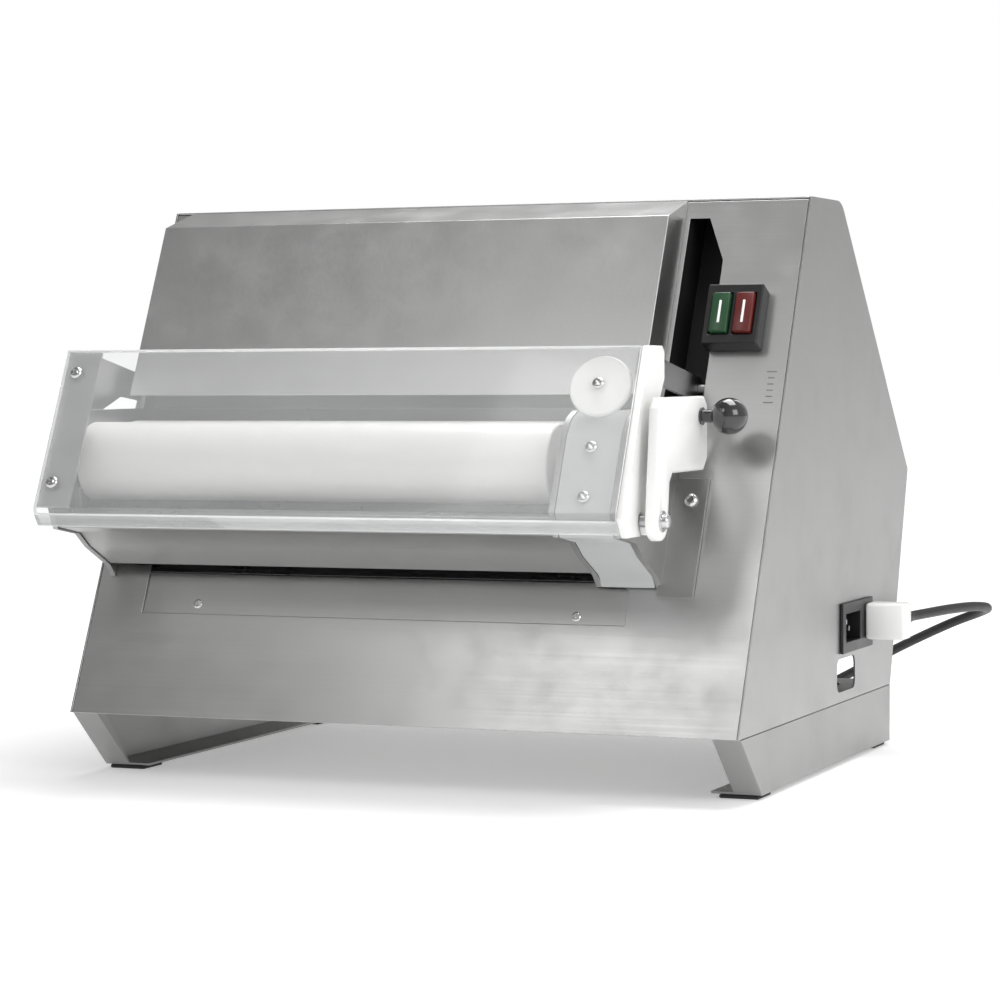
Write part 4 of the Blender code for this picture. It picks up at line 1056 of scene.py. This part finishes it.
    def make_plug(self) -> list:
        """Make the plug's body from its solid, with three pins.

        Returns:
            The plug's pieces.
        """
        low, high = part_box("mains_plug")
        middle = (low + high) / 2
        face = low.x + self.plug_pin
        length = high.x - low.x - self.plug_pin
        bm = bmesh.new()
        rings = []
        for share, wide, tall in self.plug_sections:
            rings.append(self.oval_ring(bm, face + length * share, middle, wide, tall))
        for first, second in zip(rings, rings[1:]):
            for a, b, c, d in zip(first, first[1:] + first[:1], second[1:] + second[:1], second):
                bm.faces.new((a, b, c, d))
        bm.faces.new(rings[0])
        bm.faces.new(rings[-1])
        body = soften(add_piece("mains_plug_fine", bm, Finish.BLACK, "housing"), 0.0006)
        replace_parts(body, "mains_plug")
        pieces = [body]
        for index, shift in enumerate((-0.0075, 0.0, 0.0075)):
            profile = [(-0.001, 0.0), (-0.001, 0.0018), (0.0052, 0.0018), (0.006, 0.0010), (0.006, 0.0)]
            place = Vector((low.x + 0.0065, middle.y + shift, middle.z - 0.002 + abs(shift) * 0.5))
            turn = Matrix.Translation(place) @ Matrix.Rotation(math.pi, 4, "Z")
            pin = add_piece(f"plug_pin_{index}", turned(profile, 20), Finish.BRIGHT, "housing", turn)
            pieces.append(pin)
        return pieces


def smooth_line(points: Sequence[Vector], spacing: float) -> list:
    """Even points along a smooth curve through a line of points.

    Args:
        points: the points it passes.
        spacing: the distance between the new points.

    Returns:
        The new points.
    """
    splits = 16
    padded = [2 * points[0] - points[1], *points, 2 * points[-1] - points[-2]]
    fine = []
    for a, b, c, d in zip(padded, padded[1:], padded[2:], padded[3:]):
        for step in range(splits):
            t = step / splits
            bend = 2 * b + (c - a) * t + (2 * a - 5 * b + 4 * c - d) * t * t + (3 * b - a - 3 * c + d) * t**3
            fine.append(0.5 * bend)
    fine.append(points[-1])
    result, gone = [fine[0]], 0.0
    for a, b in zip(fine, fine[1:]):
        gone += (b - a).length
        if gone >= spacing:
            result.append(b)
            gone = 0.0
    result.append(fine[-1])
    return result


@dataclass
class Housing:
    """The sheet-steel housing, its covers, feet and pads."""

    edge_highlight: float = 0.0005
    screw_inset: float = 0.0125
    slope_top: tuple = (0.2447, 0.362)
    slope_foot: tuple = (0.430, 0.163)
    wall_screw: tuple = (0.4118, 0.107)
    wall_out: tuple = (0.0, 0.951, -0.309)
    foot_screws: tuple = (0.05, 0.33)

    def build(self) -> None:
        """Dress the sheets and add their fixings."""
        from_solid("front_panel", Finish.FRONT_STEEL, self.edge_highlight)
        for side in ("left", "right"):
            from_solid(f"{side}_side_panel", Finish.SIDE_STEEL, 0.00055, 3)
            from_solid(f"{side}_foot", Finish.FOOT_STEEL, 0.0006, 3)
            for end in ("front", "rear"):
                from_solid(f"{side}_{end}_pad", Finish.RUBBER, 0.0005)
        for sheet in ("top_cover", "rear_cover", "base_plate"):
            from_solid(sheet, Finish.SHEET_STEEL, self.edge_highlight)
        from_solid("outlet_slide", Finish.FRONT_STEEL, self.edge_highlight)
        from_solid("arm_slot_liner", Finish.LINER, self.edge_highlight)
        self.make_cover_screws()
        self.make_base_screws()

    def make_cover_screws(self) -> None:
        """Fix the rear cover along both its upright edges."""
        run = self.slope_foot[0] - self.slope_top[0]
        fall = self.slope_top[1] - self.slope_foot[1]
        slope = Vector((0.0, fall, run)).normalized()
        for side in (-1, 1):
            x = side * (HALF - self.screw_inset)
            for index, share in enumerate((0.18, 0.82)):
                depth = self.slope_top[0] + run * share
                height = self.slope_top[1] - fall * share
                Screw(f"slope_screw_{side + 1}_{index}", "housing", at(x, depth, height), slope).build()
            point = at(x, *self.wall_screw)
            Screw(f"wall_screw_{side + 1}", "housing", point, Vector(self.wall_out)).build()

    def make_base_screws(self) -> None:
        """Fix the feet through the base plate."""
        for side in (-1, 1):
            for depth in self.foot_screws:
                name = f"foot_screw_{side + 1}_{int(depth * 100)}"
                point = at(side * (HALF - 0.030), depth, 0.0033)
                Screw(name, "housing", point, Vector((0, 0, 1))).build()


@dataclass
class Chute:
    """The folded hopper chute."""

    def build(self) -> None:
        """Dress the chute."""
        from_solid("hopper_chute", Finish.CHUTE_STEEL, 0.0012, 4)


@dataclass
class RollerHead:
    """The head's plates, gear case, rollers, scrapers, slide blocks and gears."""

    depth: dict = field(default_factory=lambda: {"rear": 0.069, "front": 0.011})
    height: float = 0.179
    radius: float = 0.028
    bore: float = 0.0083
    round_over: float = 0.0018
    case_gap: float = 0.0025
    case_screws: tuple = (0.192, 0.160)
    flange_bolt: tuple = (0.1950, 0.1516, 0.0039)
    slide_screws: tuple = ((-0.166, 0.0775), (0.123, 0.0756))

    def build(self) -> None:
        """Build the head from the outside in."""
        for plate in ("left", "inner", "outer"):
            from_solid(f"{plate}_head_plate", Finish.SIDE_STEEL, 0.0006, 2)
        from_solid("gear_case_cover", Finish.GREY, 0.0006, 2)
        from_solid("deflector", Finish.SHEET_STEEL, 0.0003)
        # The scrapers take the darkened steel, painted shade for the shadow under the chute.
        for side in ("rear", "front"):
            from_solid(f"{side}_scraper", Finish.SCRAPER, 0.0003)
        for side in ("left", "right"):
            from_solid(f"{side}_slide_block", Finish.MACHINED, 0.0004)
            from_solid(f"rear_{side}_bushing", Finish.BRONZE, 0.0)
        for side in ("rear", "front"):
            self.make_roller(side)
            from_solid(f"{side}_roller_shaft", Finish.MACHINED, 0.0006)
            from_solid(f"{side}_gear", Finish.GEAR, 0.0)
        self.make_case_screws()

    def make_roller(self, side: str) -> None:
        """Turn one roller with softly rounded ends.

        Args:
            side: "rear" or "front".
        """
        node = f"{side}_roller"
        low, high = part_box(node)
        round_over, facets = self.round_over, 6
        profile = [(low.x, self.bore)]
        for step in range(facets + 1):
            angle = math.pi / 2 * step / facets
            reach = self.radius - round_over + round_over * math.sin(angle)
            profile.append((low.x + round_over - round_over * math.cos(angle), reach))
        profile += [(low.x + high.x - x, r) for x, r in reversed(profile)]
        centre = Matrix.Translation(at(0.0, self.depth[side], self.height) - Vector((DATUM.x, 0, 0)))
        piece = add_piece(f"{node}_fine", turned(profile, 96, True), Finish.ROLLER, BODY_OF[node], centre)
        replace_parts(piece, node)

    def make_case_screws(self) -> None:
        """Fix the gear case's front, the outer plate's flange and the outlet slide."""
        cover = GUARD_STANDOFF - (GUARD_THICK + self.case_gap) / math.cos(LEAN)
        for index, height in enumerate(self.case_screws):
            depth = height * math.tan(LEAN) - cover - 0.0022
            Screw(f"case_screw_{index}", "housing", at(0.1585, depth, height), OUT_OF_FRONT, 0.0040).build()
        point = on_front(*self.flange_bolt)
        Screw("flange_bolt", "housing", point, OUT_OF_FRONT, 0.0050, 0.0030, Drive.HEX).build()
        for index, (x, height) in enumerate(self.slide_screws):
            point = on_front(x, height, -0.0018)
            Screw(f"slide_screw_{index}", "housing", point, OUT_OF_FRONT, 0.0034, 0.0014).build()


@dataclass
class Guard:
    """The clear swinging guard with its bracket, end plate, arms and magnet boss."""

    left: float = -0.247
    right: float = 0.1842
    top: float = 0.258
    bottom: float = 0.146
    curl: tuple = (0.0077, -0.0105)
    bend: float = 0.006
    bend_steps: int = 8
    lip_points: int = 4
    bracket_screws: tuple = (0.242, 0.166)
    boss: tuple = (0.158, 0.2335)

    def build(self) -> None:
        """Build the sheet, the painted highlight along its cut edges, and the parts fixed to it."""
        self.make_sheet()
        from_solid("left_guard_bracket", Finish.SHEET_STEEL, 0.0003)
        from_solid("right_guard_arm", Finish.MACHINED, 0.0004)
        from_solid("right_guard_end", Finish.WHITE, 0.0)
        self.make_boss()
        for index, height in enumerate(self.bracket_screws):
            point = self.on_sheet(-0.2365, height)
            Screw(f"guard_screw_{index}", "guard", point, OUT_OF_FRONT, 0.0044, 0.0024).build()
        for side in ("left", "right"):
            from_solid(f"{side}_hinge_pin", Finish.MACHINED, 0.0005)

    def on_sheet(self, x: float, height: float) -> Vector:
        """A point on the guard's outer face."""
        return on_front(x, height) - Vector((0.0, GUARD_STANDOFF, 0.0))

    def section(self) -> list:
        """The guard's outer line from its top edge round its bottom curl.

        Returns:
            The (depth, height) points.
        """
        slope = math.tan(LEAN)
        top = Vector((self.top * slope - GUARD_STANDOFF, self.top))
        corner = Vector((self.bottom * slope - GUARD_STANDOFF, self.bottom))
        end = corner + Vector(self.curl)
        start = corner + (top - corner).normalized() * self.bend
        stop = corner + (end - corner).normalized() * self.bend
        points = [top]
        for step in range(self.bend_steps + 1):
            t = step / self.bend_steps
            points.append((1 - t) ** 2 * start + 2 * t * (1 - t) * corner + t * t * stop)
        points.append(end)
        return points

    def make_sheet(self) -> None:
        """Fold the clear sheet, and lay a band of painted highlight along each cut edge."""
        line = self.section()
        inner = [point + self.inward(line, i) * GUARD_THICK for i, point in enumerate(line)]
        outline = [(p.x, p.y) for p in line + inner[::-1]]
        shift = Matrix.Translation(DATUM)
        folded = slab(outline, self.left, self.right)
        sheet = add_piece("guard_sheet_fine", folded, Finish.CLEAR, "guard", shift)
        soften(sheet, 0.0004)
        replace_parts(sheet, "guard_sheet")
        # Thin slabs in the pale edge finish paint the highlight on the left, right, bottom and top cut
        # edges.
        rim = 0.0006
        for side, low, high in (
            ("left", self.left - 0.0002, self.left + rim),
            ("right", self.right - rim, self.right + 0.0001),
        ):
            add_piece(f"guard_{side}_edge", slab(outline, low, high), Finish.CLEAR_EDGE, "guard", shift)
        lip = line[-self.lip_points:] + inner[-self.lip_points:][::-1]
        strip = slab([(p.x, p.y) for p in lip], self.left, self.right)
        add_piece("guard_bottom_lip", strip, Finish.CLEAR_EDGE, "guard", shift)
        end, back = line[0], inner[0]
        down = (line[1] - line[0]).normalized() * 0.0008
        band = [end, end + down, back + down, back]
        strip = slab([(p.x, p.y) for p in band], self.left, self.right)
        add_piece("guard_top_edge", strip, Finish.CLEAR_EDGE, "guard", shift)

    def inward(self, line: Sequence[Vector], index: int) -> Vector:
        """The direction into the sheet at a point of its outer line.

        Args:
            line: the outer line.
            index: which of its points.

        Returns:
            A flat direction of length one.
        """
        before = line[max(index - 1, 0)]
        after = line[min(index + 1, len(line) - 1)]
        along = (after - before).normalized()
        return Vector((-along.y, along.x))

    def make_boss(self) -> None:
        """Turn the round magnet boss with its raised rim and screw."""
        radius, deep = 0.0215, 0.005
        dish = deep - 0.001
        profile = [(0.0, 0.0), (0.0, radius - 0.001), (0.001, radius), (deep - 0.0012, radius)]
        profile += [(deep, radius - 0.0012), (deep, radius - 0.004), (dish, radius - 0.0048), (dish, 0.0)]
        face = self.on_sheet(*self.boss)
        turn = facing(face - OUT_OF_FRONT * 0.0033, -OUT_OF_FRONT)
        boss = add_piece("magnet_boss_fine", turned(profile, 64), Finish.WHITE, "guard", turn)
        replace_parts(boss, "magnet_boss")
        Screw("boss_screw", "guard", face, OUT_OF_FRONT, 0.0040, 0.0020).build()


@dataclass
class GapLever:
    """The cam shaft, the white lever and its ball knob."""

    depth: float = -0.018
    height: float = 0.1435
    knob: tuple = (0.062, 0.2105)
    beside_plate: float = 0.018
    thick: float = 0.008
    ball: float = 0.0125
    marks: int = 6
    mark_pitch: float = 0.0042
    first_mark: tuple = (0.2385, 0.2190)

    def build(self) -> None:
        """Build the lever and the knob, and mark the dial."""
        from_solid("cam_shaft", Finish.MACHINED, 0.0)
        from_solid("gap_lever", Finish.WHITE, 0.0004)
        self.make_knob()
        self.make_hub()
        self.make_dial()

    def make_knob(self) -> None:
        """Turn the ball with its neck."""
        low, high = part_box("ball_knob")
        radius, base = self.ball, low.x
        centre = high.x - radius
        neck, facets = 0.0044, 24
        start = math.pi - math.asin(neck / radius)
        profile = [(base, 0.0), (base, 0.0058), (base + 0.0012, 0.0060), (base + 0.0016, neck)]
        for step in range(facets):
            angle = start * (1 - step / facets)
            profile.append((centre + radius * math.cos(angle), radius * math.sin(angle)))
        profile.append((centre + radius, 0.0))
        place = Matrix.Translation(Vector((0.0, DATUM.y + self.knob[0], DATUM.z + self.knob[1])))
        ball = add_piece("ball_knob_fine", turned(profile, 64), Finish.BALL, "gap_adjuster", place)
        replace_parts(ball, "ball_knob")

    def make_hub(self) -> None:
        """Put a washer and a cap nut on the cam shaft's end."""
        face = PLATE_X + self.beside_plate + self.thick
        profile = [(0.0, 0.0), (0.0, 0.0070), (0.0010, 0.0070), (0.0011, 0.0050), (0.0040, 0.0048)]
        profile += [(0.0052, 0.0036), (0.0056, 0.0)]
        turn = Matrix.Translation(at(face, self.depth, self.height))
        soften(add_piece("cam_shaft_cap", turned(profile, 36), Finish.BRIGHT, "gap_adjuster", turn), 0.0002)

    def make_dial(self) -> None:
        """Mark the column beside the knob with short gap lines."""
        x, lowest = self.first_mark
        for index in range(self.marks):
            height = lowest + index * self.mark_pitch
            wide = 0.0045 if index % 5 else 0.0070
            bm = block((-wide / 2, -0.00012, -0.0004), (wide / 2, 0.0002, 0.0004))
            turn = Matrix.Translation(on_front(x, height)) @ Matrix.Rotation(-LEAN, 4, "X")
            add_piece(f"gap_mark_{index}", bm, Finish.MARK, "housing", turn)


@dataclass
class SwitchStation:
    """The switch housing and its two push buttons."""

    centre: float = 0.209
    level: float = 0.2745
    spread: float = 0.0085

    def build(self) -> None:
        """Dress the housing and build the buttons."""
        from_solid("switch_housing", Finish.BLACK, 0.0012, 3)
        for name, shift, finish in (
            ("start_button", -self.spread, Finish.START),
            ("stop_button", self.spread, Finish.STOP),
        ):
            from_solid(name, finish, 0.0005, 2)
            self.make_bar(name, shift)

    def make_bar(self, name: str, shift: float) -> None:
        """Raise the moulded bar down the middle of one button.

        Args:
            name: the button's node.
            shift: how far it lies from the middle of the switch.
        """
        bm = block((-0.0009, -0.0006, -0.0085), (0.0009, 0.0004, 0.0085))
        turn = Matrix.Translation(on_front(self.centre + shift, self.level, 0.0171))
        turn = turn @ Matrix.Rotation(-LEAN, 4, "X")
        bar = add_piece(f"{name}_bar", bm, Finish.WHITE, BODY_OF[name], turn)
        soften(bar, 0.0004)


@dataclass
class GearMotor:
    """The motor, gearbox, pulleys, belt and electrics inside the housing."""

    ribs: int = 14
    rib_pitch: float = 0.0065

    def build(self) -> None:
        """Dress the drive and add the motor's ribs."""
        from_solid("gearbox", Finish.PAINT, 0.0006)
        from_solid("motor_mount", Finish.MACHINED, 0.0005)
        from_solid("output_shaft", Finish.MACHINED, 0.0005)
        from_solid("roller_pulley", Finish.MACHINED, 0.0)
        from_solid("motor_pulley", Finish.MACHINED, 0.0)
        from_solid("drive_belt", Finish.RUBBER, 0.0003)
        from_solid("run_capacitor", Finish.GREY, 0.0015, 3)
        from_solid("guard_sensor", Finish.BLACK, 0.0004)
        self.make_motor()

    def make_motor(self) -> None:
        """Turn the motor's ribbed case with its fan cover."""
        low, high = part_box("motor")
        radius = (high.z - low.z) / 2
        collar, valley = radius - 0.001, radius - 0.004
        profile = [(low.x, 0.0), (low.x, radius - 0.006), (low.x + 0.004, collar), (low.x + 0.030, collar)]
        for rib in range(self.ribs):
            x = low.x + 0.033 + rib * self.rib_pitch
            profile += [(x, valley), (x + 0.0032, valley), (x + 0.0034, radius), (x + 0.0062, radius)]
        profile += [(high.x - 0.006, radius - 0.003), (high.x, valley), (high.x, 0.0)]
        middle = (low + high) / 2
        turn = Matrix.Translation(Vector((0.0, middle.y, middle.z)))
        motor = add_piece("motor_fine", turned(profile, 64), Finish.PAINT, "housing", turn)
        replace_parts(motor, "motor")


@dataclass
class Inlet:
    """The mains inlet with its socket pins."""

    def build(self) -> None:
        """Dress the inlet and add its small parts."""
        from_solid("mains_inlet", Finish.BLACK, 0.0005)
        low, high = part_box("mains_inlet")
        for index, (shift, rise) in enumerate(((-0.007, 0.0), (0.0, 0.005), (0.007, 0.0))):
            y = low.y + 0.027 + shift
            z = (low.z + high.z) / 2 - 0.002 + rise
            bm = block((high.x - 0.0160, y - 0.001, z - 0.002), (high.x - 0.0050, y + 0.001, z + 0.002))
            soften(add_piece(f"inlet_pin_{index}", bm, Finish.BRIGHT, "housing"), 0.0003)


def main() -> None:
    """Build the studio and the machine in order."""
    logging.basicConfig(level=logging.INFO, format="%(name)s: %(message)s")
    parts = (
        Studio(),
        MainsLead(),
        Housing(),
        Chute(),
        RollerHead(),
        Guard(),
        GapLever(),
        SwitchStation(),
        GearMotor(),
        Inlet(),
    )
    for part in parts:
        known = set(bpy.data.objects.keys())
        part.build()
        for name in sorted(set(bpy.data.objects.keys()) - known):
            LOG.info("%s: %s", type(part).__name__, name)


if __name__ == "__main__":
    main()
